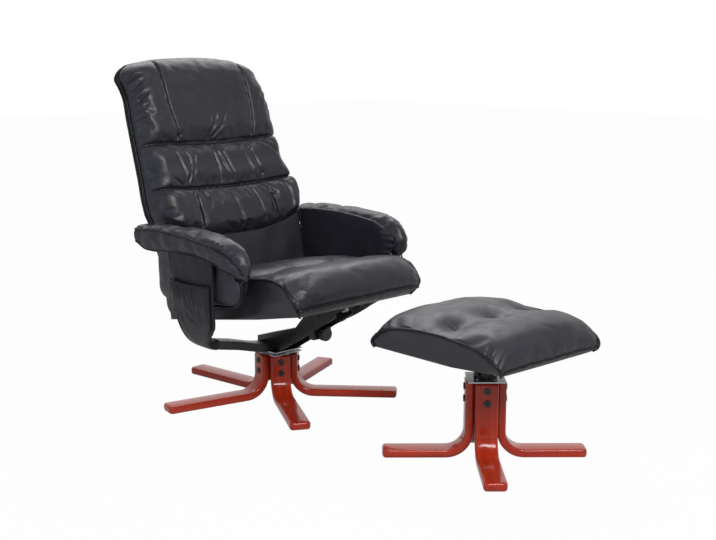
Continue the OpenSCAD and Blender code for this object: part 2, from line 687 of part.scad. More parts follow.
module seat_rails() color(STEEL) at_seat() for (s = [-1, 1])
    translate([s * (block_w / 2 + slide_gap + rail_w / 2) - rail_w / 2, -rail_front, -rail_h])
        cube([rail_w, rail_len, rail_h]);
module side_plate_outline() difference() {
    union() {
        translate([link_at[0] - bracket_r, dust_t]) square([2 * bracket_r, link_at[1] - dust_t]);
        translate([link_at[0], link_at[1]]) circle(bracket_r);
        translate([link_at[0] - seat_w / 4, dust_t]) square([seat_w / 4, board_t]);
    }
    translate([link_at[0], link_at[1]]) {
        translate([-link_r - slot_play / 2, -slot_play]) square([2 * link_r + slot_play,
            2 * slot_play]);
        for (s = [-1, 1]) translate([0, s * slot_play]) circle(link_r + slot_play / 2);
    }
}
module seat_side_plates() color(STEEL) at_seat() for (s = [0, 1]) mirror([s, 0, 0])
    slab(side_plate_in, side_plate_in + side_plate_t) side_plate_outline();

// Back. Each row: place along the height and half width, as shares
back_width_shares = [[-0.19, 0.925], [-0.05, 0.928], [0.06, 0.932], [0.13, 0.945],
    [0.21, 0.97], [0.33, 0.998], [0.54, 0.99], [0.7, 0.97], [0.85, 0.94], [0.93, 0.915],
    [1, 0.86]];
back_widths = [for (r = back_width_shares) [r[0] * back_up, r[1] * back_w / 2]];
function back_half(v) = min(lookup(v, back_widths), v < 0.12 * back_up ? back_half_low
    : back_w / 2);
// Heights of the three seams across the back, and of the rings of points
back_seam_shares = [0.052, 0.292, 0.542];
back_ring_shares = [-0.184, -0.178, -0.16, -0.12, -0.06, 0, 0.03, 0.052, 0.074, 0.11, 0.17, 0.23,
    0.268, 0.292, 0.316, 0.36, 0.42, 0.48, 0.518, 0.542, 0.566, 0.62, 0.7, 0.78, 0.86, 0.92,
    0.96, 0.985, 1];
seam_reach = 14;
head_seam_share = 0.58;
// Depth of the cushion near its bottom and top ends, as a share of its full depth
function back_fill(v) = min(pow(ease((v / back_up + 0.2) / 0.1), 0.5),
    pow(ease((1.04 - v / back_up) / 0.2), 0.45));
function back_front(v, a) = let (
    seams = total([for (s = back_seam_shares) dent((v - s * back_up) / seam_reach)]),
    head = v > back_seam_shares[2] * back_up
        ? dent((abs(a) - head_seam_share) * back_w / 2 / seam_reach) : 0,
    side = pow(1 - pow(abs(a), 3.2), 0.42))
    shell_rear - shell_t - soft_gap - back_fill(v) * side
        * (back_depth - back_seam * min(1, seams + 0.4 * head));
back_across_shares = [-1, -0.985, -0.95, -0.88, -0.78, -0.68, -0.58, -0.48, -0.32, -0.16, 0,
    0.16, 0.32, 0.48, 0.58, 0.68, 0.78, 0.88, 0.95, 0.985, 1];
back_behind_shares = [0.6, 0, -0.6];
function top_sag(v, a) = top_drop * a * a * ease((v / back_up - 0.55) / 0.45);
function back_ring(v) = concat(
    [for (a = back_across_shares) [a * back_half(v), back_front(v, a), v - top_sag(v, a)]],
    [for (a = back_behind_shares) [a * back_half(v), shell_rear - shell_t - soft_gap,
        v - top_sag(v, a)]]);
module back_cushion() color(LEATHER) at_back() {
    rings = [for (s = back_ring_shares) back_ring(s * back_up)];
    middle_y = shell_rear - shell_t - back_depth / 4;
    loft(rings, [0, middle_y, back_ring_shares[0] * back_up],
        [0, middle_y, back_up]);
}
shell_bottom = 0.85 * back_down;
shell_steps = 28;
module shell_outline(inset) {
    rows = [for (i = [0 : shell_steps]) inset - shell_bottom
        + (back_up - top_drop * 0.75 + shell_bottom - 2 * inset) * i / shell_steps];
    side = [for (v = rows) [back_half(v) - inset, v]];
    brow = [for (i = [1 : 11]) let (a = 1 - i / 6) [a * side[shell_steps][0],
        back_up - inset - top_drop * 0.75 * a * a]];
    polygon(concat(side, brow, [for (i = [shell_steps : -1 : 0]) [-side[i][0], side[i][1]]]));
}
module back_slab(inset, front, thick) translate([0, front + thick, 0]) rotate([90, 0, 0])
    linear_extrude(thick) shell_outline(inset);
// Round spacers between a bracket and the rear shell, let into the shell's edge
boss_r = 0.4 * shell_t;
boss_y = shell_rear - shell_t / 2;
boss_in = back_half_low - 2 * boss_r;
module bracket_bosses(r) for (s = [0, 1], t = [-1, 1]) mirror([s, 0, 0])
    slab(boss_in, bracket_in + bracket_t / 2) translate([boss_y, t * bracket_r]) circle(r);
module back_shell() color(LEATHER) at_back() difference() {
    back_slab(0, shell_rear - shell_t, shell_t);
    back_slab(back_board_inset, shell_rear - shell_t - cut, back_board_t + cut);
    bracket_bosses(boss_r + fit);
}
module back_board() color(PLY) at_back()
    back_slab(back_board_inset, shell_rear - shell_t, back_board_t);
// The bracket hangs from the pivot to the link pin straight below it
bracket_arm = 0.85 * bracket_r;
module bracket_outline() difference() {
    union() {
        circle(bracket_r);
        rotate(back_tilt) translate([-bracket_arm, -link_drop])
            square([2 * bracket_arm, link_drop]);
        rotate(back_tilt) translate([0, -link_drop]) circle(bracket_r);
        for (s = [-1, 1]) translate([boss_y, s * bracket_r]) circle(1.15 * boss_r);
        translate([0, -bracket_arm]) square([boss_y, 2 * bracket_arm]);
    }
    circle(pivot_r + fit);
}
module back_brackets() color(STEEL) at_back() {
    for (s = [0, 1]) mirror([s, 0, 0]) slab(bracket_in, bracket_in + bracket_t) bracket_outline();
    bracket_bosses(boss_r);
}
module link_pins() color(ZINC) at_chair() for (s = [0, 1]) mirror([s, 0, 0])
    translate([side_plate_in + soft_gap, pivot_y, pivot_z - link_drop]) rotate([0, 90, 0])
        cylinder(r = link_r, h = bracket_in - side_plate_in - soft_gap);

// Arms. Each row: place along the pad, drop below its highest line, height, width and shift in
pad_shares = [[0, 0.1, 0.72, 0.86, 0], [0.02, 0.09, 0.88, 0.95, 0], [0.08, 0.06, 0.98, 1, 0],
    [0.2, 0.03, 1, 1, 0], [0.36, 0.01, 1, 1, 0], [0.54, 0, 1, 1, 0], [0.69, 0.06, 1, 1, 0],
    [0.8, 0.16, 1, 0.97, 0.01], [0.885, 0.36, 0.95, 0.88, 0.05], [0.945, 0.62, 0.84, 0.72, 0.1],
    [0.975, 0.86, 0.62, 0.5, 0.14]];
pad_path = [for (r = pad_shares) [arm_rear - r[0] * arm_len, arm_z - r[1] * pad_h,
    r[2] * pad_h / 2, r[3] * pad_w / 2, r[4] * pad_w]];
pad_line = concat(curve(pad_path, 2), [pad_path[len(pad_path) - 1]]);
function pad_point(i, y, x) = let (t = tangent(pad_line, i), c = pad_line[i])
    [x, c[0] + t[1] * y, c[1] - t[0] * y];
pad_sides = 20;
pad_x = arm_in + pad_w / 2;
function pad_ring(i) = [for (k = [0 : pad_sides - 1]) let (a = k * 360 / pad_sides,
    e = sin(a) < 0 ? 0.4 : 0.7)
    pad_point(i, pad_line[i][2] * root(sin(a), e),
        pad_x - pad_line[i][4] + pad_line[i][3] * root(cos(a), 0.6))];
module arm_pad(side) color(LEATHER) on_side(side) {
    n = len(pad_line);
    loft([for (i = [0 : n - 1]) pad_ring(i)], pad_point(0, 0, pad_x),
        pad_point(n - 1, 0, pad_x - pad_line[n - 1][4]));
}
under_pad = [for (i = [4 : len(pad_line) - 5]) let (p = pad_point(i, -pad_line[i][2] - pad_gap, 0))
    if (p[1] < panel_rear && p[1] > -panel_front) [p[1], p[2]]];
last_under = under_pad[len(under_pad) - 1];
module panel_outline() polygon(concat([[panel_rear, under_pad[0][1]]], under_pad,
    [[-panel_front, last_under[1] - (last_under[0] + panel_front) / 2]],
    arc(panel_r - panel_front, panel_z + panel_r, panel_r, 180, 270, 8),
    arc(panel_rear - panel_r, panel_z - panel_drop + panel_r, panel_r, 270, 360, 8)));
// The front of a panel is round, seen from above
panel_nose = arm_t / 2;
module panel_plan() {
    translate([arm_in, panel_nose - panel_front]) square([arm_t, panel_front + panel_rear]);
    translate([arm_in + panel_nose, panel_nose - panel_front]) circle(panel_nose, $fn = 96);
}
board_top = arm_z - pad_h / 2 - 5 * arm_plate_t / 2;
module arm_board_outline(grow) translate([-arm_board_front - grow, panel_z - panel_drop / 4])
    square([arm_board_front + panel_rear - arm_board_inset + 2 * grow,
        board_top - panel_z + panel_drop / 4 + grow]);
arm_board_x = arm_in + arm_t / 2 - arm_board_t / 2;
module arm_bolt_holes(r, x0, x1) arm_bolt_places() translate([0, 0, x0])
    cylinder(r = r, h = x1 - x0);
module pivot_hole(r, x0, x1) translate([x0, pivot_y, pivot_z]) rotate([0, 90, 0])
    cylinder(r = r, h = x1 - x0);
// Plate on the board's inner face that runs back to the pivot
arm_plate_x = arm_board_x - arm_plate_t;
module arm_plate_outline(grow) {
    translate([panel_rear - arm_plate_grip - grow, pivot_z - 2 * arm_plate_h - grow])
        square([arm_plate_grip + grow, 2.5 * arm_plate_h + 2 * grow]);
    translate([panel_rear - cut, pivot_z - arm_plate_h / 2 - grow])
        square([pivot_y - panel_rear + cut, arm_plate_h + 2 * grow]);
    translate([pivot_y, pivot_z]) circle(arm_plate_h / 2 + grow);
}
module arm_panel(side) color(LEATHER) on_side(side) difference() {
    intersection() {
        slab(arm_in, sleeve_in) panel_outline();
        linear_extrude(arm_z) panel_plan();
    }
    translate([0, 0, -fit]) slab(arm_board_x - fit, arm_board_x + arm_board_t + fit)
        arm_board_outline(2 * fit);
    translate([0, 0, -panel_drop]) slab(arm_board_x - fit, arm_board_x + arm_board_t + fit)
        arm_board_outline(2 * fit);
    slab(arm_plate_x - fit, arm_board_x + fit) arm_plate_outline(2 * fit);
    arm_bolt_holes(arm_bolt_r + fit, arm_board_x, sleeve_in + cut);
}
module arm_board(side) color(PLY) on_side(side) difference() {
    slab(arm_board_x, arm_board_x + arm_board_t) arm_board_outline(0);
    arm_bolt_holes(arm_bolt_r + fit, arm_board_x - cut, sleeve_in);
}
module arm_pivot_plates() color(STEEL) for (side = ["left", "right"]) on_side(side)
    difference() {
        slab(arm_plate_x, arm_board_x) arm_plate_outline(0);
        pivot_hole(pivot_r + fit, arm_plate_x - cut, arm_board_x + cut);
    }
// Each row: place across the sleeve from its front edge, and place up it
sleeve_side_shares = [[1, 1], [0.914, 0.764], [0.863, 0.555], [0.82, 0.35], [0.81, 0.17],
    [0.81, 0], [0.47, 0], [0.38, 0.035], [0.24, 0.1], [0.1, 0.18], [0.02, 0.27], [0, 0.35],
    [0, 1]];
module sleeve_side(inset) polygon([for (r = sleeve_side_shares)
    [max(inset, min(r[0] * sleeve_w, sleeve_w - inset)) - sleeve_front,
        sleeve_z + r[1] * (sleeve_top - sleeve_z)]]);
// The sleeve wraps the bow's upright end and the bend below it
sleeve_line = concat([for (p = bow_line) if (p[1] > sleeve_z - bow_h / 2 && p[1] < upright_top) p],
    [[upright_mid, sleeve_top, upright_t / 2]]);
module arm_sleeve(side) color(LEATHER) on_side(side) difference() {
    intersection() {
        slab(0, sleeve_out) sleeve_side(0);
        translate([0, sleeve_w, 0]) rotate([90, 0, 0]) linear_extrude(2 * sleeve_w)
            polygon(ribbon([for (p = sleeve_line) [p[0], p[1], p[2] + sleeve_skin]]));
    }
    bow_shape(bow_d + 2 * fit, fit);
    arm_bolt_holes(arm_bolt_r + fit, sleeve_in - cut, upright_x);
    arm_bolt_holes(2 * arm_bolt_r, upright_x + upright_t, sleeve_out - sleeve_skin / 3);
}
pocket_in = sleeve_out;
pocket_out = sleeve_out + pocket_d;
// The pocket is open at its hem, and its outer wall leans out
pocket_lean_share = 0.8;
module pocket_wedge(inset, over) translate([0, sleeve_w, 0]) rotate([90, 0, 0])
    linear_extrude(2 * sleeve_w) polygon([[pocket_in + inset, pocket_z + inset],
        [pocket_in + pocket_lean_share * pocket_d - inset, pocket_z + inset],
        [pocket_out - inset, pocket_top + over], [pocket_in + inset, pocket_top + over]]);
module pocket_shape(inset, over) intersection() {
    pocket_wedge(inset, over);
    slab(pocket_in, pocket_out + cut) offset(delta = -inset) sleeve_side(pocket_t);
}
module magazine_pocket(side) color(LEATHER) on_side(side) difference() {
    pocket_shape(0, 0);
    pocket_shape(pocket_t, cut);
}
module arm_bolts() color(STEEL) for (side = ["left", "right"]) on_side(side) {
    arm_bolt_holes(arm_bolt_r, arm_board_x, upright_x + upright_t);
    arm_bolt_holes(1.6 * arm_bolt_r, upright_x + upright_t,
        upright_x + upright_t + sleeve_skin / 3);
}
module pivot_pins() color(ZINC) for (side = ["left", "right"]) on_side(side) {
    pivot_hole(pivot_r, bracket_in - fit, arm_board_x);
    pivot_hole(1.5 * pivot_r, bracket_in - side_gap / 2 - fit, bracket_in - fit);
}

// Footstool
module stool_leg(i) at_stool() rotate(stool_turn + i * 360 / stool_legs)
    leg(stool_reach, stool_top, stool_apothem);
flange_screw_at = 0.4 * flange_w;
stool_screw_r = 2.5;
stool_screw_len = 18;
stool_screw_in = stool_apothem - 3 * stool_screw_r;
module stool_screw_places(at) for (x = [-1, 1], y = [-1, 1]) translate([x * at, y * at, 0])
    children();
module stool_hub() at_stool() color(WOOD) difference() {
    hub(stool_legs, stool_turn, stool_apothem, stool_hub_z, stool_top);
    rotate(stool_turn) stool_screw_places(stool_screw_in)
        translate([0, 0, stool_top - stool_screw_len]) cylinder(r = stool_screw_r,
            h = stool_screw_len + cut);
}
module stool_leg_bolts() at_stool() leg_bolts(stool_legs, stool_turn, stool_apothem, stool_top);
module stool_leg_sleeves() at_stool()
    leg_sleeves(stool_legs, stool_turn, stool_apothem, stool_top);
module stool_glides() at_stool() glides(stool_legs, stool_turn, stool_reach);
module stool_plate() color(ZINC) at_stool() rotate(stool_turn) difference() {
    box_between([-stool_plate_w / 2, -stool_plate_w / 2, stool_top],
        [stool_plate_w / 2, stool_plate_w / 2, stool_top + flange_t]);
    stool_screw_places(stool_screw_in) translate([0, 0, stool_top - cut])
        cylinder(r = stool_screw_r, h = flange_t + 2 * cut);
}
flange_z = stool_z - flange_t;
gusset = flange_w / 2 - post_w / 2;
module stool_post() color(STEEL) at_stool() {
    difference() {
        translate([-post_w / 2, -post_w / 2, stool_top + flange_t])
            cube([post_w, post_w, flange_z - stool_top - flange_t]);
        translate([post_wall - post_w / 2, post_wall - post_w / 2, stool_top])
            cube([post_w - 2 * post_wall, post_w - 2 * post_wall, flange_z - stool_top]);
    }
    difference() {
        translate([-flange_w / 2, -flange_w / 2, flange_z]) cube([flange_w, flange_w, flange_t]);
        stool_screw_places(flange_screw_at) translate([0, 0, flange_z - cut])
            cylinder(r = stool_screw_r, h = flange_t + 2 * cut);
    }
    for (i = [0 : 3]) rotate(i * 90) translate([0, flange_t / 2, 0]) rotate([90, 0, 0])
        linear_extrude(flange_t) polygon([[post_w / 2, flange_z],
            [post_w / 2 + gusset * 0.9, flange_z],
            [post_w / 2, stool_top + 3 * flange_t]]);
}
module stool_screws() color(ZINC) at_stool() {
    rotate(stool_turn) stool_screw_places(stool_screw_in) {
        translate([0, 0, stool_top - stool_screw_len])
            cylinder(r = stool_screw_r, h = stool_screw_len + flange_t);
        translate([0, 0, stool_top + flange_t])
            cylinder(r = 1.7 * stool_screw_r, h = stool_screw_r);
    }
    stool_screw_places(flange_screw_at) {
        translate([0, 0, flange_z])
            cylinder(r = stool_screw_r, h = flange_t + dust_t + 0.7 * board_t);
        translate([0, 0, flange_z - stool_screw_r])
            cylinder(r = 1.7 * stool_screw_r, h = stool_screw_r);
    }
}
module stool_board_outline(grow) translate([-stool_w / 2 + stool_board_in - grow,
    -stool_len / 2 + stool_board_in - grow])
    square([stool_w - 2 * stool_board_in + 2 * grow, stool_len - 2 * stool_board_in + 2 * grow]);
module stool_board() color(PLY) at_stool() difference() {
    translate([0, 0, stool_z + dust_t]) linear_extrude(board_t) stool_board_outline(0);
    stool_screw_places(flange_screw_at) translate([0, 0, stool_z])
        cylinder(r = stool_screw_r, h = dust_t + 0.7 * board_t);
}
module stool_dust_cover() color(NYLON) at_stool() difference() {
    translate([0, 0, stool_z]) linear_extrude(dust_t) stool_board_outline(0);
    stool_screw_places(flange_screw_at) translate([0, 0, stool_z - cut])
        cylinder(r = stool_screw_r, h = dust_t + 2 * cut);
}
stool_bottom_shares = [[0.05, 0, 0.05, 0], [0.35, 0, 0.35, 0], [0.65, 0, 0.65, 0],
    [0.95, 0, 0.95, 0]];
stool_half_shares = [[0.975, 0, 0.98, 0], [0.998, 0.15, 1, 0.25], [0.978, 0.42, 0.998, 0.63],
    [0.922, 0.67, 0.96, 1.05], [0.835, 0.83, 0.875, 1.36], [0.67, 0.955, 0.7, 1.57]];
stool_shares = concat(stool_half_shares, [[0.5, 1, 0.5, 1.64]],
    [for (i = [len(stool_half_shares) - 1 : -1 : 0]) let (r = stool_half_shares[i])
        [1 - r[0], r[1], 1 - r[2], r[3]]]);
stool_tuft_shares = [-0.62, 0, 0.62];
function stool_point(u, p) = let (
    y = (0.5 - p[0]) * stool_len,
    draw = stool_draw * (1 - pow(2 * p[0] - 1, 2)) * (1 - abs(2 * min(p[1], 1) - 1)),
    x = u * (stool_w / 2 - draw),
    low = p[1] > 0.9 ? dents(x, y, stool_tuft_shares * stool_w / 2, stool_tuft) * crown(u) : 0)
    [x, y, stool_z + p[1] * stool_h - low];
module stool_cushion() color(LEATHER) at_stool() difference() {
    loft([for (u = stations) [for (p = profile(stool_bottom_shares, stool_shares, crown(u)))
        stool_point(u, p)]],
        [stool_draw - stool_w / 2, 0, stool_z + stool_h / 2],
        [stool_w / 2 - stool_draw, 0, stool_z + stool_h / 2]);
    translate([0, 0, stool_z - cut]) linear_extrude(dust_t + board_t + soft_gap + cut)
        stool_board_outline(soft_gap);
}

base_hub();
base_leg(0);  // base_leg_1
base_leg(1);  // base_leg_2
base_leg(2);  // base_leg_3
base_leg(3);  // base_leg_4
base_leg(4);  // base_leg_5
base_leg_bolts();
base_leg_sleeves();
base_glides();
swivel_lower_plate();
swivel_balls();
swivel_pin();
swivel_plate_screws();
swivel_upper_plate();
steel_bow();
chassis();
guide_plate();
guide_block();
hold_down_bar();
seat_stops();
lock_knob();
lock_spindle();
clamp_block();
seat_board();
seat_cushion();
seat_dust_cover();
seat_rails();
seat_side_plates();
back_cushion();
back_shell();
back_board();
back_brackets();
link_pins();
arm_pad("left");  // arm_pad_left
arm_pad("right");  // arm_pad_right
arm_panel("left");  // arm_panel_left
arm_panel("right");  // arm_panel_right
arm_board("left");  // arm_board_left
arm_board("right");  // arm_board_right
arm_sleeve("left");  // arm_sleeve_left
arm_sleeve("right");  // arm_sleeve_right
magazine_pocket("left");  // magazine_pocket_left
magazine_pocket("right");  // magazine_pocket_right
arm_pivot_plates();
arm_bolts();
pivot_pins();
stool_hub();
stool_leg(0);  // stool_leg_1
stool_leg(1);  // stool_leg_2
stool_leg(2);  // stool_leg_3
stool_leg(3);  // stool_leg_4
stool_leg_bolts();
stool_leg_sleeves();
stool_glides();
stool_plate();
stool_post();
stool_board();
stool_cushion();
stool_dust_cover();
stool_screws();
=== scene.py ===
import json
import math

import bpy
import numpy as np
from mathutils import Matrix, Vector

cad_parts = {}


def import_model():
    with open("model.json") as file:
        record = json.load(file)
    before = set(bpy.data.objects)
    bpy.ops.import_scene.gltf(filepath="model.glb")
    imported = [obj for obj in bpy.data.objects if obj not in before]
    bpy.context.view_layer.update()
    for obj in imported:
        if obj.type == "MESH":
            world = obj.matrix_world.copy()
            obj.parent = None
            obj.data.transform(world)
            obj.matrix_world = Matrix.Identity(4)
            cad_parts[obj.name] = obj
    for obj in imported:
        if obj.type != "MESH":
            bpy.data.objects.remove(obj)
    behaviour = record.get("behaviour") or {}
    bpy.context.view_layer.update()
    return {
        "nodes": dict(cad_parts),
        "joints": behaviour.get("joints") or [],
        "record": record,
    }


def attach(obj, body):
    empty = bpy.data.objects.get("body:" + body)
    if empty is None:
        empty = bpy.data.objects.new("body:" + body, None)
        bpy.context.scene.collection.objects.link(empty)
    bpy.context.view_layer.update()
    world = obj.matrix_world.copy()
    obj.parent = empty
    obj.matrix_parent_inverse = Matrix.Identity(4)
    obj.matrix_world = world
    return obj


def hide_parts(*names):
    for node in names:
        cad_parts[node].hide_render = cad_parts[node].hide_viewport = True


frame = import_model()
MM = 0.001
X, Y, Z = range(3)
JOINTS = {joint["name"]: joint for joint in frame["joints"]}
CHAIR_Y = JOINTS["swivel"]["pos_m"][1] / MM
PIVOT = [value / MM for value in JOINTS["recline"]["pos_m"]]

# Driving sizes in millimetres and degrees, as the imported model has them
LEG_W, LEG_T, LEG_BEND, LEG_TIP_R = 58, 22, 48, 12
LEG_GAP, GLIDE_H = 1.5, 2
BASE_REACH, BASE_TOP, BASE_TURN = 358, 134, 23.5
STOOL_REACH, STOOL_TOP, STOOL_TURN, STOOL_YAW = 261, 205, 48, -2
STOOL_FORWARD, STOOL_ASIDE = 777, 29
STOOL_W, STOOL_LEN, STOOL_Z, STOOL_H = 394, 420, 284, 72
SEAT_TILT, SEAT_Z, SEAT_W, SEAT_LEN, SEAT_REAR, SEAT_H = 9.7, 269.4, 488, 595, 205, 109
BACK_TILT, BACK_W, BACK_UP = 20, 524, 576
SHELL_REAR, SHELL_T, TOP_DROP = 60, 26, 30
ARM_IN, ARM_T = 264, 62
BOW_Z, BOW_H, BOW_RISE, UPRIGHT_T = 145.5, 25, 150, 12
SLEEVE_FRONT, SLEEVE_W, SLEEVE_Z, SLEEVE_TOP, SLEEVE_SKIN = 113, 176, 205, 466, 3.5


# Places: each takes points in a local frame and returns them in the row frame, in millimetres
def rotated(points, degrees, first, second):
    """Turns points from the first of two axes towards the second."""
    c, s = math.cos(math.radians(degrees)), math.sin(math.radians(degrees))
    turned = np.array(points, float)
    turned[..., first] = points[..., first] * c - points[..., second] * s
    turned[..., second] = points[..., first] * s + points[..., second] * c
    return turned


def at_chair(points):
    return points + np.array([0, CHAIR_Y, 0])


def at_back(points):
    return rotated(points, -BACK_TILT, Y, Z) + np.array([0, PIVOT[1], PIVOT[2]])


def at_seat(points):
    return rotated(points, -SEAT_TILT, Y, Z) + np.array([0, CHAIR_Y, SEAT_Z])


def at_stool(points):
    turned = rotated(points, STOOL_YAW, X, Y)
    return turned + np.array([STOOL_ASIDE, CHAIR_Y - STOOL_FORWARD, 0])


def mirrored(place):
    return lambda points: place(points * np.array([-1, 1, 1]))


# Materials
def shader(name, color, roughness, **sockets):
    material = bpy.data.materials.new(name)
    material.use_nodes = True
    bsdf = material.node_tree.nodes["Principled BSDF"]
    bsdf.inputs["Base Color"].default_value = (*color, 1)
    bsdf.inputs["Roughness"].default_value = roughness
    for socket, value in sockets.items():
        bsdf.inputs[socket.replace("_", " ")].default_value = value
    return material, bsdf


class Nodes:
    """Adds nodes to the tree of a material or a world and links them in one call."""

    def __init__(self, owner):
        self.tree = owner.node_tree
        coordinates = self.add("ShaderNodeTexCoord").outputs
        self.position, self.way = coordinates["Object"], coordinates["Generated"]

    def add(self, kind, inputs=(), **settings):
        node = self.tree.nodes.new(kind)
        for key, value in settings.items():
            setattr(node, key, value)
        for key, value in dict(inputs).items():
            if isinstance(value, bpy.types.NodeSocket):
                self.tree.links.new(value, node.inputs[key])
            else:
                node.inputs[key].default_value = value
        return node

    def math(self, operation, first, second):
        return self.add("ShaderNodeMath", {0: first, 1: second}, operation=operation).outputs[0]

    def noise(self, scale, detail=3, vector=None, rough=0.5, distortion=0):
        node = self.add("ShaderNodeTexNoise", {"Vector": vector or self.position, "Scale": scale,
            "Detail": detail, "Roughness": rough, "Distortion": distortion})
        return node.outputs["Fac"]

    def spread(self, fac, low, high):
        node = self.add("ShaderNodeMapRange", {"Value": fac, "From Min": 0.3, "From Max": 0.7,
            "To Min": low, "To Max": high})
        return node.outputs["Result"]

    def between(self, fac, low, high):
        node = self.add("ShaderNodeMix", data_type="RGBA")
        self.tree.links.new(fac, node.inputs["Factor"])
        node.inputs[6].default_value = (*low, 1)
        node.inputs[7].default_value = (*high, 1)
        return node.outputs[2]

    def bump(self, height, distance, strength=1, under=None):
        inputs = {"Height": height, "Distance": distance, "Strength": strength}
        if under is not None:
            inputs["Normal"] = under
        return self.add("ShaderNodeBump", inputs).outputs["Normal"]

    def join(self, output, bsdf, socket):
        self.tree.links.new(output, bsdf.inputs[socket])


def leather(name, color, roughness, gloss=0.5):
    material, bsdf = shader(name, color, roughness, Specular_IOR_Level=gloss)
    n = Nodes(material)
    grain = n.add("ShaderNodeTexVoronoi", {"Vector": n.position, "Scale": 620, "Randomness": 1},
        feature="SMOOTH_F1").outputs["Distance"]
    fine = n.bump(grain, 0.0003, 0.35)
    pores = n.bump(n.noise(1500, 2), 0.0001, 0.3, fine)
    waves = n.bump(n.noise(75, 4, distortion=0.6), 0.0022, 0.2, pores)
    n.join(waves, bsdf, "Normal")
    n.join(n.spread(n.noise(38, 5), roughness - 0.06, roughness + 0.08), bsdf, "Roughness")
    dark = tuple(0.82 * c for c in color)
    light = tuple(1.16 * c for c in color)
    n.join(n.between(n.spread(n.noise(9, 4), 0, 1), dark, light), bsdf, "Base Color")
    return material


def wood(name):
    material, bsdf = shader(name, (0.38, 0.035, 0.012), 0.42, Coat_Weight=1.0, Coat_Roughness=0.1,
        Coat_IOR=1.36, Specular_IOR_Level=0.1)
    n = Nodes(material)
    run = n.add("ShaderNodeAttribute", attribute_name="grain").outputs["Vector"]
    long_run = n.add("ShaderNodeMapping", {"Vector": run, "Scale": (1.4, 34, 34)}).outputs["Vector"]
    fine_run = n.add("ShaderNodeMapping", {"Vector": run, "Scale": (7, 260, 260)}).outputs["Vector"]
    figure = n.noise(2.2, 6, long_run, 0.6, 0.35)
    fibre = n.noise(3, 4, fine_run, 0.7)
    tone = n.math("ADD", n.spread(figure, 0, 0.72), n.spread(fibre, 0, 0.28))
    n.join(n.between(tone, (0.25, 0.013, 0.004), (0.5, 0.038, 0.012)), bsdf, "Base Color")
    n.join(n.spread(fibre, 0.32, 0.46), bsdf, "Roughness")
    n.join(n.bump(fibre, 0.0002, 0.12), bsdf, "Normal")
    return material


def metal(name, color, roughness, metallic, grain_scale, grain):
    material, bsdf = shader(name, color, roughness, Metallic=metallic)
    n = Nodes(material)
    n.join(n.spread(n.noise(grain_scale / 8, 4), 0.75 * roughness, 1.3 * roughness), bsdf,
        "Roughness")
    n.join(n.bump(n.noise(grain_scale, 3), 0.0004, grain), bsdf, "Normal")
    return material


def plywood():
    material, bsdf = shader("plywood", (0.5, 0.34, 0.19), 0.7)
    n = Nodes(material)
    run = n.add("ShaderNodeMapping", {"Vector": n.position, "Scale": (1, 14, 40)}).outputs["Vector"]
    layers = n.spread(n.noise(9, 6, run), 0, 1)
    n.join(n.between(layers, (0.4, 0.25, 0.13), (0.6, 0.43, 0.26)), bsdf, "Base Color")
    n.join(n.bump(n.noise(60, 5, run), 0.0004, 0.3), bsdf, "Normal")
    return material


def cloth(name, color):
    material, bsdf = shader(name, color, 0.9, Sheen_Weight=0.3)
    n = Nodes(material)
    weave = n.add("ShaderNodeTexWave", {"Vector": n.position, "Scale": 420, "Distortion": 0.4})
    n.join(n.bump(weave.outputs["Fac"], 0.0003, 0.5), bsdf, "Normal")
    return material


LEATHER = leather("soft_leather", (0.0142, 0.0143, 0.0215), 0.42)
DARK_LEATHER = leather("shell_leather", (0.0106, 0.0107, 0.0155), 0.46, 0.3)
# Piping leather: darker than the other leathers, partly as dark leather of its own and partly as
# painted shade for the shadowed line along each seam
PIPING_WITH_SHADE = leather("piping_leather_with_painted_shade", (0.006, 0.006, 0.008), 0.36, 0.25)
WOOD = wood("cherry_wood")
BLACK_STEEL = metal("black_steel", (0.012, 0.012, 0.013), 0.32, 0.0, 900, 0.25)
ZINC = metal("zinc", (0.42, 0.43, 0.45), 0.32, 1.0, 1200, 0.2)
PLASTIC = metal("black_plastic", (0.016, 0.016, 0.017), 0.42, 0.0, 1500, 0.3)
PLY = plywood()
LINING = cloth("lining", (0.014, 0.014, 0.015))
SLOT_LOOKS = {"leather": LEATHER, "leather_dark": DARK_LEATHER, "wood": WOOD,
    "black_steel": BLACK_STEEL, "zinc": ZINC, "plywood": PLY, "black_plastic": PLASTIC,
    "black_cloth": LINING}
LOOK_SLOTS = {look.name: slot for slot, look in SLOT_LOOKS.items()}
LOOK_SLOTS[PIPING_WITH_SHADE.name] = "leather_dark"


def dress_cad_nodes():
    for part in frame["record"]["subparts"]:
        node = frame["nodes"][part["node"]]
        look = SLOT_LOOKS[part["material_slot"]]
        if not node.material_slots:
            node.data.materials.append(look)
        for place in node.material_slots:
            place.material = look


# Meshes
def linked(name, data):
    made = bpy.data.objects.new(name, data)
    bpy.context.collection.objects.link(made)
    return made


def piece(name, rings, place, look, body, replaces=()):
    """A closed skin through rings of a local frame, riding on its body."""
    points, faces = skin(rings, place)
    mesh = bpy.data.meshes.new(name)
    mesh.from_pydata((np.asarray(points) * MM).tolist(), [], faces)
    mesh.validate()
    mesh.update()
    mesh.shade_smooth()
    mesh.materials.append(look)
    made = linked(name, mesh)
    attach(made, body)
    if replaces:
        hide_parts(*replaces)
    return made


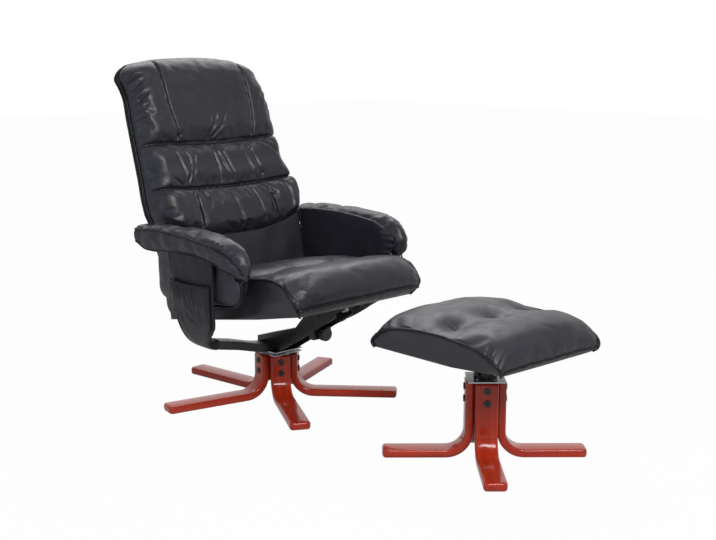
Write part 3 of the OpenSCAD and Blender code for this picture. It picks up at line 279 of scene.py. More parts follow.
def skin(rings, place):
    """Points and outward faces of a closed skin through rings, each end closed by a fan."""
    rows, around = rings.shape[:2]
    index = np.arange(rows * around).reshape(rows, around)
    here, there = index[:-1], index[1:]
    quads = np.stack([here, np.roll(here, -1, 1), np.roll(there, -1, 1), there], -1).reshape(-1, 4)
    points = np.concatenate([rings.reshape(-1, 3), [rings[0].mean(0), rings[-1].mean(0)]])
    first, last = rows * around, rows * around + 1
    fans = [[first, int(b), int(a)] for a, b in zip(index[0], np.roll(index[0], -1))]
    fans += [[last, int(a), int(b)] for a, b in zip(index[-1], np.roll(index[-1], -1))]
    faces = quads.tolist() + fans
    placed = place(points)
    corners = placed[quads] - placed.mean(0)
    inside = np.einsum("ij,ij->i", corners[:, 0], np.cross(corners[:, 1], corners[:, 2]))
    inside += np.einsum("ij,ij->i", corners[:, 0], np.cross(corners[:, 2], corners[:, 3]))
    if inside.sum() < 0:
        faces = [face[::-1] for face in faces]
    return placed, faces


def catmull(points, steps):
    """Smooth curve through points."""
    p = np.asarray(points, float)
    p = np.concatenate([[2 * p[0] - p[1]], p, [2 * p[-1] - p[-2]]])
    t = (np.arange(steps) / steps)[:, None]
    parts = []
    for a, b, c, d in zip(p[:-3], p[1:-2], p[2:-1], p[3:]):
        parts.append(0.5 * (2 * b + (c - a) * t + (2 * a - 5 * b + 4 * c - d) * t ** 2
            + (3 * b - a - 3 * c + d) * t ** 3))
    return np.concatenate(parts + [p[-2:-1]])


def arc_length(path):
    """How far along the path each of its points is."""
    gaps = np.linalg.norm(np.diff(path, axis=0), axis=1)
    return np.concatenate([[0], np.cumsum(gaps)])


def directions(path):
    ahead = np.gradient(path, axis=0)
    return ahead / np.linalg.norm(ahead, axis=1)[:, None]


def resampled(path, run, at):
    """The path's points at other places of the run that its own points are given at."""
    return np.stack([np.interp(at, run, path[:, k]) for k in range(path.shape[1])], -1)


def evenly(path, step):
    """The same path with points a step apart."""
    run = arc_length(path)
    return resampled(path, run, np.linspace(0, run[-1], max(3, round(run[-1] / step) + 1)))


def tube_rings(path, radius, around=10):
    """Rings of a round tube along a path, with frames carried along it."""
    path = np.asarray(path, float)
    ahead = directions(path)
    side = np.cross(ahead[0], [0.31, 0.52, 0.79])
    rings = []
    angles = np.linspace(0, 2 * np.pi, around, endpoint=False)
    for centre, t in zip(path, ahead):
        side = side - t * side.dot(t)
        side /= np.linalg.norm(side)
        up = np.cross(t, side)
        rings.append(centre + radius * (np.cos(angles)[:, None] * side
            + np.sin(angles)[:, None] * up))
    return np.array(rings)


def piping(name, path, place, body, radius):
    even = evenly(np.asarray(path, float), 4)
    return piece(name, tube_rings(even, radius), place, PIPING_WITH_SHADE, body)


def table_at(table, value):
    """A table's second column at a value of its first."""
    return np.interp(value, table[:, 0], table[:, 1])


# Fields that shape stuffed leather, in millimetres
def crisp(distance, reach):
    """Rises from 0 at a seam to 1 at its reach, round as stuffed leather does."""
    q = np.clip(distance / reach, 0, 1)
    return np.sqrt(np.maximum(1 - (1 - q) ** 2, 0))


def ease(t):
    t = np.clip(t, 0, 1)
    return t * t * (3 - 2 * t)


# All creases together: how much narrower and deeper than their own values
CREASE_WIDTH, CREASE_DEPTH = 0.78, 1.2
RIDGE_HEIGHT, RIDGE_AT, RIDGE_SPREAD = 0.2, 2.1, 1.1


def creases(u, v, lines):
    """Valleys with soft ridges beside them. Each line is a route, a width, a depth, and how
    much of its length fades in and out."""
    height = np.zeros_like(u)
    for route, width, depth, fade_in, fade_out in lines:
        way = catmull(route, 6)
        near = np.full(u.shape, 1e9)
        along = np.zeros_like(u)
        count = len(way) - 1
        for k in range(count):
            (ax, ay), (bx, by) = way[k], way[k + 1]
            dx, dy = bx - ax, by - ay
            t = np.clip(((u - ax) * dx + (v - ay) * dy) / (dx * dx + dy * dy + 1e-9), 0, 1)
            gap = np.hypot(u - ax - t * dx, v - ay - t * dy)
            closer = gap < near
            near = np.where(closer, gap, near)
            along = np.where(closer, (k + t) / count, along)
        q = near / (CREASE_WIDTH * width)
        ridge = RIDGE_HEIGHT * np.exp(-((q - RIDGE_AT) / RIDGE_SPREAD) ** 2)
        shape = -np.exp(-q ** 1.5) + ridge
        taper = ease(along / max(fade_in, 1e-3)) * ease((1 - along) / max(fade_out, 1e-3))
        height += CREASE_DEPTH * depth * shape * taper
    return height


def ripple(u, v, size, seed, waves=14):
    """Gentle seeded unevenness, about 1 high."""
    draw = np.random.default_rng(seed)
    total = np.zeros_like(u)
    for _ in range(waves):
        angle, phase = draw.uniform(0, 2 * np.pi, 2)
        k = 2 * np.pi / (size * draw.uniform(0.6, 1.7))
        total += np.sin(k * (u * np.cos(angle) + v * np.sin(angle)) + phase)
    return total / math.sqrt(waves)


def normals(grid):
    du = np.gradient(grid, axis=0)
    dv = np.gradient(grid, axis=1)
    n = np.cross(du, dv)
    return n / np.maximum(np.linalg.norm(n, axis=-1, keepdims=True), 1e-9)


def outward(grid):
    """Normals that point out of a grid whose every row is a closed ring."""
    wrap = np.concatenate([grid[:, -1:], grid, grid[:, :1]], 1)
    out = normals(wrap)[:, 1:-1]
    points_in = ((grid - grid.mean(1, keepdims=True)) * out).sum() < 0
    return -out if points_in else out


def squared(values, power):
    """Raises the size of each value to a power and keeps its sign."""
    return np.sign(values) * np.abs(values) ** power


def groove(distance, width, depth):
    """A bell-shaped line, as deep as asked in its middle."""
    return depth * np.exp(-(distance / width) ** 2)


def dense(count, power):
    """Places from -1 to 1, closer together at both ends."""
    q = np.linspace(-1, 1, count)
    return np.sign(q) * (1 - (1 - np.abs(q)) ** power)


def unit_grid(rows, columns, endpoint=True):
    """Shares from 0 to 1 along the rows and along the columns."""
    return np.meshgrid(np.linspace(0, 1, rows), np.linspace(0, 1, columns, endpoint=endpoint),
        indexing="ij")


def backed(sheet, behind, step=1):
    """Closes each row of a sheet by going back along the one behind it."""
    return np.concatenate([sheet, behind[:, ::-step]], 1)


# Legs
def rounded_section(half_w, half_t, radius, steps=4):
    """Closed outline of a rounded rectangle, from its right side round."""
    corners = [(half_w - radius, half_t - radius, 0), (radius - half_w, half_t - radius, 90),
        (radius - half_w, radius - half_t, 180), (half_w - radius, radius - half_t, 270)]
    points = []
    for cx, cy, start in corners:
        for k in range(steps + 1):
            a = math.radians(start + 90 * k / steps)
            points.append((cx + radius * math.cos(a), cy + radius * math.sin(a)))
    return np.array(points)


LEG_EDGE = 6.5


def round_off(radius, distance):
    """How far a round edge falls back at a distance from the end."""
    return radius - math.sqrt(max(0, radius ** 2 - max(0, radius - distance) ** 2))


def leg_rings(reach, top, apothem):
    """Sections along a bentwood leg, and each point's place in the wood, for its grain."""
    middle = LEG_BEND + LEG_T / 2
    low = GLIDE_H + LEG_T / 2
    up = [(apothem + LEG_T / 2, z) for z in np.linspace(top, low + middle, 8)]
    bend = [(apothem + LEG_T / 2 + middle * (1 - math.cos(a)),
        low + middle * (1 - math.sin(a))) for a in np.linspace(0, np.pi / 2, 19)[1:]]
    along = [(y, low) for y in np.linspace(bend[-1][0], reach, 9)[1:]]
    path = evenly(np.array(up + bend + along), 6)
    run = arc_length(path)
    start = LEG_EDGE * (1 - np.cos(np.linspace(0, np.pi / 2, 5)))[:-1]
    tip = run[-1] - LEG_TIP_R * (1 - np.cos(np.linspace(0, np.pi / 2, 9)))[::-1]
    between = run[(run > 4) & (run < tip[0] - 1)]
    places = np.unique(np.round(np.concatenate([start, between, tip]), 4))
    centres, ways = (resampled(track, run, places) for track in (path, directions(path)))
    rings, grain = [], []
    for s, (y, z), (ty, tz) in zip(places, centres, ways):
        from_tip = run[-1] - s
        thin = round_off(LEG_EDGE, min(from_tip, s))
        narrow = round_off(LEG_TIP_R, from_tip) if from_tip < s else thin
        half_t = LEG_T / 2 - thin
        section = rounded_section(LEG_W / 2 - narrow, half_t, min(LEG_EDGE, half_t - 0.2))
        for x, t in section:
            rings.append((x, y - t * tz, z + t * ty))
            grain.append((s * MM, x * MM, t * MM))
    return np.array(rings).reshape(len(places), -1, 3), np.array(grain)


def leg(name, reach, top, apothem, turn, place, body):
    rings, grain = leg_rings(reach, top, apothem)
    lying = rings[..., [Y, X, Z]] * np.array([1, -1, 1])
    made = piece(name + "_wood", rotated(lying, turn, X, Y), place, WOOD, body, [name])
    seed = np.array([turn * 0.01, 0.3 * math.sin(turn), 0.2])
    values = np.concatenate([grain, grain[:1], grain[-1:]]) + seed
    attribute = made.data.attributes.new("grain", "FLOAT_VECTOR", "POINT")
    attribute.data.foreach_set("vector", values.astype(np.float32).ravel())


def legs():
    for count, reach, top, turn, place, body in (
            (5, BASE_REACH, BASE_TOP, BASE_TURN, at_chair, "base"),
            (4, STOOL_REACH, STOOL_TOP, STOOL_TURN, at_stool, "stool")):
        apothem = (LEG_W + LEG_GAP) / 2 / math.tan(math.pi / count)
        for i in range(count):
            leg(f"{body}_leg_{i + 1}", reach, top, apothem, turn + i * 360 / count, place, body)


# Simulated stuffing
SIM_FRAMES, SIM_STEP = 20, 3
CLOTH = {"quality": 5, "mass": 0.25, "tension_stiffness": 22, "compression_stiffness": 22,
    "shear_stiffness": 8, "bending_stiffness": 0.6, "use_pressure": True,
    "vertex_group_mass": "seams"}
# Pressure, how much larger the leather is than its place, and the most that a point moves
PILLOW_STUFFING = {"pressure": 6, "slack": 0.022, "cap": 7}
BOX_STUFFING = {"pressure": 5, "slack": 0.012, "cap": 3.5}
PAD_STUFFING = {"pressure": 5, "slack": 0.02, "cap": 5}


def every_step(count):
    return np.unique(np.append(np.arange(0, count, SIM_STEP), count - 1))


def settled(grid, pinned, pressure, slack, cap):
    """Blows up a sheet of leather that is pinned along its seams, on every third point of the
    grid, and returns how far each point of the grid moves, in millimetres."""
    rows, cols = every_step(grid.shape[0]), every_step(grid.shape[1])
    coarse = grid[np.ix_(rows, cols)]
    index = np.arange(coarse.shape[0] * coarse.shape[1]).reshape(coarse.shape[:2])
    faces = np.stack([index[:-1, :-1], index[:-1, 1:], index[1:, 1:], index[1:, :-1]], -1)
    mesh = bpy.data.meshes.new("settling")
    mesh.from_pydata((coarse.reshape(-1, 3) * MM).tolist(), [], faces.reshape(-1, 4).tolist())
    made = linked("settling", mesh)
    group = made.vertex_groups.new(name=CLOTH["vertex_group_mass"])
    weights = pinned[np.ix_(rows, cols)].ravel()
    for i in np.nonzero(weights > 0.01)[0]:
        group.add([int(i)], float(weights[i]), "REPLACE")
    cloth_modifier = made.modifiers.new("cloth", "CLOTH")
    settings = cloth_modifier.settings
    for key, value in CLOTH.items():
        setattr(settings, key, value)
    settings.uniform_pressure_force = pressure
    settings.shrink_min = -slack
    settings.effector_weights.gravity = 0
    cloth_modifier.point_cache.frame_start = 1
    cloth_modifier.point_cache.frame_end = SIM_FRAMES
    scene = bpy.context.scene
    for number in range(1, SIM_FRAMES + 1):
        scene.frame_set(number)
    shown = made.evaluated_get(bpy.context.evaluated_depsgraph_get())
    after = np.empty(len(mesh.vertices) * 3, np.float32)
    shown.data.vertices.foreach_get("co", after)
    moved = after.reshape(coarse.shape) / MM - coarse
    bpy.data.objects.remove(made)
    bpy.data.meshes.remove(mesh)
    scene.frame_set(1)
    length = np.linalg.norm(moved, axis=-1, keepdims=True)
    moved *= np.minimum(1, cap / np.maximum(length, 1e-6))
    for axis, places in ((1, cols), (0, rows)):
        at = np.arange(grid.shape[axis])
        moved = np.apply_along_axis(lambda line: np.interp(at, places, line), axis, moved)
    return smoothed(moved, 2)


def smoothed(field, times):
    for _ in range(times):
        field[1:-1] = (field[:-2] + 2 * field[1:-1] + field[2:]) / 4
        field[:, 1:-1] = (field[:, :-2] + 2 * field[:, 1:-1] + field[:, 2:]) / 4
    return field


# Back: x across, y to the rear and v up along it, from the pivots
BACK_WIDTHS = np.array([[-0.2, 0.95], [-0.05, 0.965], [0.06, 0.982], [0.13, 0.99],
    [0.19, 1.02], [0.27, 1.022], [0.36, 1.004], [0.54, 0.985], [0.7, 0.968], [0.85, 0.94],
    [0.93, 0.915], [1, 0.86]])
BACK_DOWN = 113
SHELL_FRONT = SHELL_REAR - SHELL_T
TOP_CORNER = 25
# The top falls less on the right, and its corners stand out and lean to the rear
RIGHT_TOP_SHARE = 0.3
EAR_V, EAR_SPREAD, EAR_OUT, EAR_SWEEP = 540, 22, 10, 20
EAR_SWEEP_V, EAR_SWEEP_RUN = 455, 80
# Lower edge of the pillow: its middle, its rise to the sides and its corners
PILLOW_LOW, PILLOW_RISE, PILLOW_MERGE, PILLOW_HALF = 3, 50, 260, 252
PILLOW_CORNER, PILLOW_CORNER_X, PILLOW_CORNER_RUN = 17, 216, 36
PILLOW_T, PILLOW_EDGE, PILLOW_ROLL, PILLOW_LOW_ROLL = 62, 8, 60, 27
# The stuffing moves less near the top
CALM, CALM_FROM, CALM_RUN = 0.75, 470, 70
# The lowest band swells out, most of all at its sides
LOBE_SWELL, LOBE_TOP, LOBE_RUN, LOBE_ASIDE = 16, 240, 105, 10
LOBE_TIGHTER_RIGHT, LOBE_TIGHTER_LEFT = 8, 32
# Seams across, each with its height in the middle and its rise at the sides
HEAD_SEAM, BAND_SEAM = (298, 10), (156, 12)
BAND_DIP, BAND_REACH = 22, 46
SEAM_W, SEAM_DEEP = 3, 6.5
# Upright seams of the head, with a line of stitches beside them
HEAD_DIP, HEAD_REACH, HEAD_SEAM_DEEP, HEAD_BLEND = 8, 30, 5.5, 14
HEAD_SEAM_AT = np.array([(310, 138), (420, 154), (BACK_UP, 155)], float)
STITCH_ASIDE, STITCH_W, STITCH_HIGH = 7, 3.5, 1.2
HEAD_CREASES = [
    ([(-30, 303), (-9, 342), (8, 373), (16, 409)], 6, 4.5, 0.02, 0.5),
    ([(-23, 300), (20, 340), (39, 372), (47, 392)], 6, 4, 0.02, 0.5),
    ([(-33, 307), (-16, 358), (-6, 402)], 5, 3, 0.02, 0.6),
    ([(-155, 311), (-138, 321), (-121, 332)], 5, 3, 0.1, 0.5),
    ([(-17, 296), (11, 308), (30, 332)], 5, 3, 0.02, 0.6),
]
BAND_CREASES = [
    ([(-174, 290), (-161, 241), (-155, 194), (-168, 166)], 6, 3.5, 0.2, 0.1),
    ([(-139, 284), (-127, 246), (-133, 207), (-154, 166)], 6, 4, 0.15, 0.1),
    ([(-97, 283), (-113, 229), (-137, 161)], 5, 3, 0.3, 0.1),
    ([(-37, 279), (-31, 231), (-31, 183), (-34, 155)], 6, 3.5, 0.1, 0.1),
    ([(-24, 290), (-8, 229), (5, 188), (11, 159)], 7, 6, 0.02, 0.15),
    ([(-8, 286), (9, 236), (19, 195), (28, 160)], 6, 4.5, 0.05, 0.15),
    ([(58, 283), (84, 239), (93, 201), (99, 168)], 6, 4.5, 0.15, 0.1),
    ([(98, 283), (119, 236), (128, 198), (136, 173)], 6, 4, 0.15, 0.1),
    ([(148, 296), (192, 270), (228, 232)], 7, 5, 0.05, 0.3),
    ([(180, 300), (216, 279), (230, 257)], 6, 4, 0.05, 0.3),
    ([(-213, 199), (-190, 185), (-169, 164)], 5, 2.5, 0.4, 0.1),
    ([(-82, 187), (-81, 168), (-82, 152)], 5, 3, 0.5, 0.05),
    ([(49, 205), (52, 180), (48, 156)], 5, 3, 0.5, 0.05),
    ([(-60, 186), (-57, 168), (-58, 152)], 4, 2.5, 0.5, 0.05),
    ([(75, 190), (76, 172), (72, 156)], 4, 2.5, 0.5, 0.05),
]
LOW_CREASES = [
    ([(-172, 152), (-163, 117), (-155, 81)], 6, 3, 0.1, 0.5),
    ([(-141, 148), (-140, 110), (-139, 71), (-140, 30)], 5, 6, 0.05, 0.1),
    ([(-104, 146), (-98, 110), (-105, 76)], 6, 3.5, 0.1, 0.5),
    ([(-68, 145), (-62, 110), (-61, 79)], 6, 3, 0.1, 0.5),
    ([(-14, 144), (-4, 101), (5, 56), (9, 17)], 6, 5.5, 0.05, 0.1),
    ([(66, 144), (82, 96), (90, 55), (97, 25)], 6, 4, 0.1, 0.2),
    ([(130, 148), (140, 103), (147, 65), (149, 32)], 5, 6, 0.05, 0.1),
    ([(188, 160), (205, 126), (209, 88), (208, 50)], 8, 5, 0.1, 0.3),
    ([(-12, 50), (-2, 33), (-2, 15)], 5, 4, 0.4, 0.1),
    ([(22, 44), (20, 30), (18, 16)], 5, 3, 0.4, 0.1),
    ([(-232, 162), (-220, 146), (-205, 130)], 6, 3, 0.1, 0.5),
    ([(40, 142), (47, 120), (52, 100)], 5, 2.5, 0.1, 0.6),
    ([(-35, 142), (-30, 118), (-28, 98)], 5, 2.5, 0.1, 0.6),
]
EAR_CREASES = [
    ([(-244, 506), (-226, 514), (-200, 520)], 6, 4, 0.05, 0.5),
    ([(-246, 475), (-226, 490), (-200, 505)], 6, 4.5, 0.05, 0.5),
    ([(-249, 429), (-226, 449), (-195, 469)], 7, 4.5, 0.05, 0.5),
    ([(-250, 405), (-233, 414), (-212, 422)], 5, 3, 0.05, 0.5),
    ([(-250, 385), (-236, 391), (-218, 396)], 5, 2.5, 0.05, 0.5),
    ([(243, 470), (224, 452), (202, 428)], 7, 2.8, 0.3, 0.5),
    ([(244, 437), (225, 415), (203, 391)], 7, 2.8, 0.3, 0.5),
    ([(245, 405), (228, 388), (208, 368)], 6, 2.2, 0.3, 0.5),
    ([(238, 512), (220, 504), (198, 490)], 6, 2.2, 0.3, 0.5),
]
LUMBAR_CREASES = [
    ([(-225, 60), (-190, 66), (-150, 60)], 8, 2.5, 0.1, 0.6),
    ([(225, 64), (185, 72), (140, 66)], 8, 2.5, 0.1, 0.6),
    ([(205, 88), (190, 60), (182, 30)], 7, 2.5, 0.1, 0.6),
    ([(176, 80), (163, 52), (158, 24)], 7, 2, 0.1, 0.6),
]


def back_half(v):
    half = table_at(BACK_WIDTHS, v / BACK_UP) * BACK_W / 2
    half = half + EAR_OUT * np.exp(-((v - EAR_V) / EAR_SPREAD) ** 2)
    low = np.clip(TOP_CORNER - (BACK_UP - v), 0, TOP_CORNER)
    return half - TOP_CORNER + np.sqrt(TOP_CORNER ** 2 - low ** 2)


def top_sag(v, a):
    """How far the outline of the top falls towards its corners."""
    sag = TOP_DROP * a * a * ease((v / BACK_UP - 0.55) / 0.45)
    return sag * np.where(a < 0, RIGHT_TOP_SHARE, 1)


def ear_sweep(v, a):
    """How far the top corners lean to the rear."""
    return EAR_SWEEP * ease((v - EAR_SWEEP_V) / EAR_SWEEP_RUN) * ease((np.abs(a) - 0.6) / 0.4)


def pillow_low(x):
    corner = np.clip((np.abs(x) - PILLOW_CORNER_X) / PILLOW_CORNER_RUN, 0, 1)
    return (PILLOW_LOW + PILLOW_RISE * (np.abs(x) / PILLOW_HALF) ** 2.5
        + PILLOW_CORNER * (1 - np.sqrt(1 - corner ** 2)))


def across_seam(x, middle, rise):
    return middle + rise * (x / 250) ** 2


def heights(low, count, power):
    """Heights from low to the top of the back, closer together at both ends."""
    return low + (BACK_UP - low) * (0.5 + 0.5 * dense(count, power))


def pillow():
    v, a = np.meshgrid(heights(PILLOW_LOW, 260, 1.4), dense(220, 1.5), indexing="ij")
    x = a * back_half(v)
    z = v + (pillow_low(x) - PILLOW_LOW) * (1 - ease((v - PILLOW_LOW) / PILLOW_MERGE))
    half = back_half(z)
    x = a * half
    lobe = ease((LOBE_TOP - z) / LOBE_RUN)
    side_roll = PILLOW_ROLL - lobe * np.where(a < 0, LOBE_TIGHTER_RIGHT, LOBE_TIGHTER_LEFT)
    roll = crisp((1 - np.abs(a)) * half, side_roll) * crisp(BACK_UP - v, PILLOW_ROLL)
    roll = roll * crisp(z - pillow_low(x), PILLOW_LOW_ROLL)
    lobe = lobe * (LOBE_SWELL + LOBE_ASIDE * ease((np.abs(a) - 0.5) / 0.35))
    depth = PILLOW_EDGE + (PILLOW_T - PILLOW_EDGE + lobe) * roll
    seams = [across_seam(x, *seam) for seam in (HEAD_SEAM, BAND_SEAM)]
    for seam in seams:
        depth -= BAND_DIP * (1 - crisp(np.abs(z - seam), BAND_REACH)) * roll
        depth -= groove(z - seam, SEAM_W, SEAM_DEEP)
    head = ease((z - seams[0]) / HEAD_BLEND)
    off_seam = np.abs(x) - table_at(HEAD_SEAM_AT, z)
    dip = HEAD_DIP * (1 - crisp(np.abs(off_seam), HEAD_REACH))
    depth -= head * (dip + groove(off_seam, SEAM_W, HEAD_SEAM_DEEP)) * roll
    depth += head * groove(off_seam + STITCH_ASIDE, STITCH_W, STITCH_HIGH)
    sweep = ear_sweep(z, a)
    z = z - top_sag(z, a)
    front = np.stack([x, SHELL_FRONT - 0.5 - depth + sweep, z], -1)
    sewn = np.maximum.reduce([groove(z + top_sag(z, a) - seam, 5, 1) for seam in seams])
    moved = settled(front, np.clip(sewn + (roll < 0.25), 0, 1), **PILLOW_STUFFING)
    front += moved * (1 - CALM * ease((z - CALM_FROM) / CALM_RUN))[..., None]
    folds = creases(x, z, HEAD_CREASES + BAND_CREASES + LOW_CREASES + EAR_CREASES)
    front -= normals(front) * (folds * np.clip(roll * 2, 0, 1)
        + 0.5 * ripple(x, z, size=46, seed=3) * roll)[..., None]
    rear = np.stack([x, SHELL_FRONT - 0.5 + sweep, z], -1)
    piece("back_pillow", backed(front, rear, 12), at_back, LEATHER, "back", ["back_cushion"])


LUMBAR_TOP, LUMBAR_EDGE, LUMBAR_LOW_ROLL = 230, 4, 12
LUMBAR_SIDE_ROLL, LUMBAR_RIGHT_ROLL = 20, 30
LUMBAR_FULL = np.array([(-110, 52), (0, 60), (60, 66)], float)
# Under the pillow it sinks by this share, over this height
LUMBAR_SUNK, LUMBAR_SINKING = 0.85, 22


def lumbar_depth(x, v):
    """How far the lumbar part stands out. It fades away under the pillow."""
    full = table_at(LUMBAR_FULL, v)
    full = full * (1 - LUMBAR_SUNK * ease((v - pillow_low(x) - 4) / LUMBAR_SINKING))
    reach = LUMBAR_SIDE_ROLL + np.where(x < 0, LUMBAR_RIGHT_ROLL, 0) * ease((v + 10) / 60)
    side = crisp(back_half(v) - 1 - np.abs(x), reach)
    return LUMBAR_EDGE + (full - LUMBAR_EDGE) * side * crisp(v + BACK_DOWN, LUMBAR_LOW_ROLL)


def lumbar():
    v, a = np.meshgrid(np.linspace(-BACK_DOWN, LUMBAR_TOP, 130), dense(120, 1.6), indexing="ij")
    half = back_half(v) - 1
    x = a * half
    roll = crisp((1 - np.abs(a)) * half, 34) * crisp(v + BACK_DOWN, 26)
    depth = lumbar_depth(x, v) + 1.2 * ripple(x, v, size=120, seed=11) * roll
    front = np.stack([x, SHELL_FRONT - 0.4 - depth - creases(x, v, LUMBAR_CREASES), v], -1)
    rear = np.stack([x, np.full_like(x, SHELL_FRONT - 0.4), v], -1)
    piece("back_lumbar", backed(front, rear, 12), at_back, LEATHER, "back", ["back_cushion"])


def back_edge(y, inset, low):
    """The back's outline from its lower left, over the top, to its lower right."""
    v = heights(low, 60, 1.8)
    left, right = (np.stack([way * (back_half(v) - inset), y + ear_sweep(v, 1),
        v - top_sag(v, way)], -1) for way in (1, -1))
    a = np.linspace(1, -1, 41)[1:-1]
    top_half = back_half(BACK_UP) - inset
    brow = np.stack([a * top_half, y + ear_sweep(BACK_UP, a), BACK_UP - inset
        - top_sag(BACK_UP, a)], -1)
    return np.concatenate([left, brow, right[::-1]])


SHELL_EDGE, SHELL_CROWN = 9, 2.5


def shell():
    """Padded rear shell: a rounded edge and a slightly crowned rear face."""
    low = -0.85 * BACK_DOWN
    v, a = np.meshgrid(heights(low, 150, 1.6), dense(110, 1.6), indexing="ij")
    half = back_half(v)
    x = a * half
    edge = np.minimum.reduce([(1 - np.abs(a)) * half, BACK_UP - v, v - low])
    z = v - top_sag(v, a)
    swell = crisp(edge, SHELL_EDGE) * SHELL_EDGE + SHELL_CROWN * crisp(edge, 120)
    sweep = ear_sweep(v, a)
    rear = np.stack([x, SHELL_REAR - SHELL_EDGE - 1.5 + swell + sweep
        + 0.4 * ripple(x, v, size=90, seed=21) * crisp(edge, 40), z], -1)
    front = np.stack([x, SHELL_FRONT + sweep, z], -1)
    piece("back_shell_cover", backed(rear, front, 10), at_back, DARK_LEATHER, "back",
        ["back_shell"])


PIPED_HALF = 248


def back_pipings():
    front = back_edge(SHELL_FRONT, inset=-1.2, low=-70)
    rear = back_edge(SHELL_REAR - SHELL_EDGE, inset=-0.8, low=-84)
    piping("back_front_piping", front, at_back, "back", radius=3)
    piping("back_rear_piping", rear, at_back, "back", radius=2.4)
    x = PIPED_HALF * dense(120, 1.6)
    low = pillow_low(x) + 8
    x = x * (back_half(low) - 2) / PIPED_HALF
    path = np.stack([x, SHELL_FRONT - 1.5 - lumbar_depth(x, low), low], -1)
    piping("pillow_piping", path, at_back, "back", radius=2.6)


# Boxed cushions: a closed profile along the length, swollen from each side to the middle. Each
# row of a profile has its length and height shares at the sides, then those in the middle
CAP_STEPS = (0.012, 0.03, 0.06, 0.1, 0.16, 0.24, 0.34, 0.46, 0.6, 0.74, 0.87, 0.96)
CAP_BLEND = 0.1


def crown(u):
    return (1 - np.abs(u) ** 2.8) ** 0.52


def caps(ring, way, cap):
    """Rings that close a boxed side from its rim to its middle."""
    middle = ring.mean(0)
    spokes = np.linalg.norm((ring - middle)[:, 1:], axis=1)
    layers = []
    for t in CAP_STEPS:
        inner = middle + (ring - middle) * (1 - t)
        blend = min(1, t / CAP_BLEND)
        deep = cap(inner[:, 1], inner[:, 2], t * spokes)
        inner[:, 0] = ring[:, 0] * (1 - blend) + way * deep * blend
        layers.append(inner)
    return np.array(layers)


def boxed_cushion(body, bottom, upper, half_at, place_point, field, cap, place):
    """half_at gives half the width and place_point the place from the length and height shares;
    field gives the relief from x, y, the arc length along the profile and both shares; cap gives
    how far out a boxed side is. Returns the grid between the boxed sides."""
    u = dense(150, 1.9)
    profile = np.concatenate([bottom, catmull(upper, 9)])
    shares = np.array([profile[:, :2] * (1 - crown(at)) + profile[:, 2:] * crown(at) for at in u])
    grid_u = np.repeat(u[:, None], shares.shape[1], 1)
    length, height = shares[..., 0], shares[..., 1]
    x = grid_u * half_at(length, height)
    y, z = place_point(length, height)
    run = np.repeat(arc_length(np.stack([y, z], -1)[len(u) // 2])[None], len(u), 0)
    grid = np.stack([x, y, z], -1)
    out = outward(grid)
    top = crisp(np.abs(height), 0.12)
    rise = field(x, y, run, length, height) * top
    pins = np.clip((np.abs(grid_u) > 0.985) + (height < 0.1) * 1.0, 0, 1)
    moved = settled(grid[:, ::-1], pins[:, ::-1], **BOX_STUFFING)[:, ::-1]
    grid = grid + moved * top[..., None]
    grid = grid + out * rise[..., None]
    rings = np.concatenate([caps(grid[0], -1, cap)[::-1], grid, caps(grid[-1], 1, cap)])
    piece(f"{body}_pad", rings, place, LEATHER, body, [f"{body}_cushion"])
    return grid


def side_pipings(body, grid, rows, place):
    for side, end, out in (("near", 0, -1.5), ("far", -1, 1.5)):
        path = grid[end][rows] + np.array([out, 0, 0])
        piping(f"{body}_piping_{side}", path, place, body, radius=4)


SEAT_BOTTOM = np.array([[0.11, 0, 0.11, 0], [0.3, 0, 0.3, 0], [0.5, 0, 0.5, 0], [0.7, 0, 0.7, 0],
    [0.85, 0, 0.85, 0]])
SEAT_UPPER = np.array([[0.928, 0, 0.935, 0], [0.946, 0.13, 0.975, 0.13], [0.956, 0.31, 0.999, 0.4],
    [0.944, 0.49, 0.991, 0.67], [0.921, 0.67, 0.958, 0.89], [0.885, 0.84, 0.91, 1.04],
    [0.81, 0.965, 0.84, 1.08], [0.655, 0.99, 0.655, 1.1], [0.461, 0.985, 0.461, 1.17],
    [0.235, 0.98, 0.235, 1.15], [0.073, 0.955, 0.073, 1.02], [0.011, 0.82, 0.011, 0.85],
    [0, 0.5, 0, 0.5], [0.006, 0.3, 0.006, 0.3], [0.03, 0.15, 0.03, 0.15],
    [0.066, 0.06, 0.066, 0.06]])
SEAT_DRAW, SEAT_TUCK, SEAT_SKIN = 4, 34, 0.4
SEAT_ROW = SEAT_REAR - 0.61 * SEAT_LEN
SEAT_TUFTS = np.array([-0.62, 0, 0.62]) * SEAT_W / 2
TUFT_FOLDS = ((-14, 34), (9, 30), (22, 24))
FRONT_GATHERS = (0.905, 0.925, 0.945, 0.957)
PINCH, PINCH_LEN, PINCH_W = 7, 15, 4.5


def tuft(x, y, cx, cy, depth, reach):
    """A round dip with a pinched line in its middle."""
    d2 = ((x - cx) ** 2 + (y - cy) ** 2) / reach ** 2
    pinch = PINCH * np.exp(-((x - cx) / PINCH_LEN) ** 2 - ((y - cy) / PINCH_W) ** 2)
    return -depth * np.exp(-d2) - pinch


def drawn_in(length, height, amount):
    """How far a boxed side is drawn in at its middle."""
    return amount * (1 - (2 * length - 1) ** 2) * (1 - np.abs(2 * np.minimum(height, 1) - 1))


def seat_half(length, height):
    tuck = SEAT_TUCK * np.maximum(0, 1 - 2 * height) ** 2 * ease((length - 0.72) / 0.2)
    return SEAT_W / 2 - SEAT_SKIN - drawn_in(length, height, SEAT_DRAW) - tuck


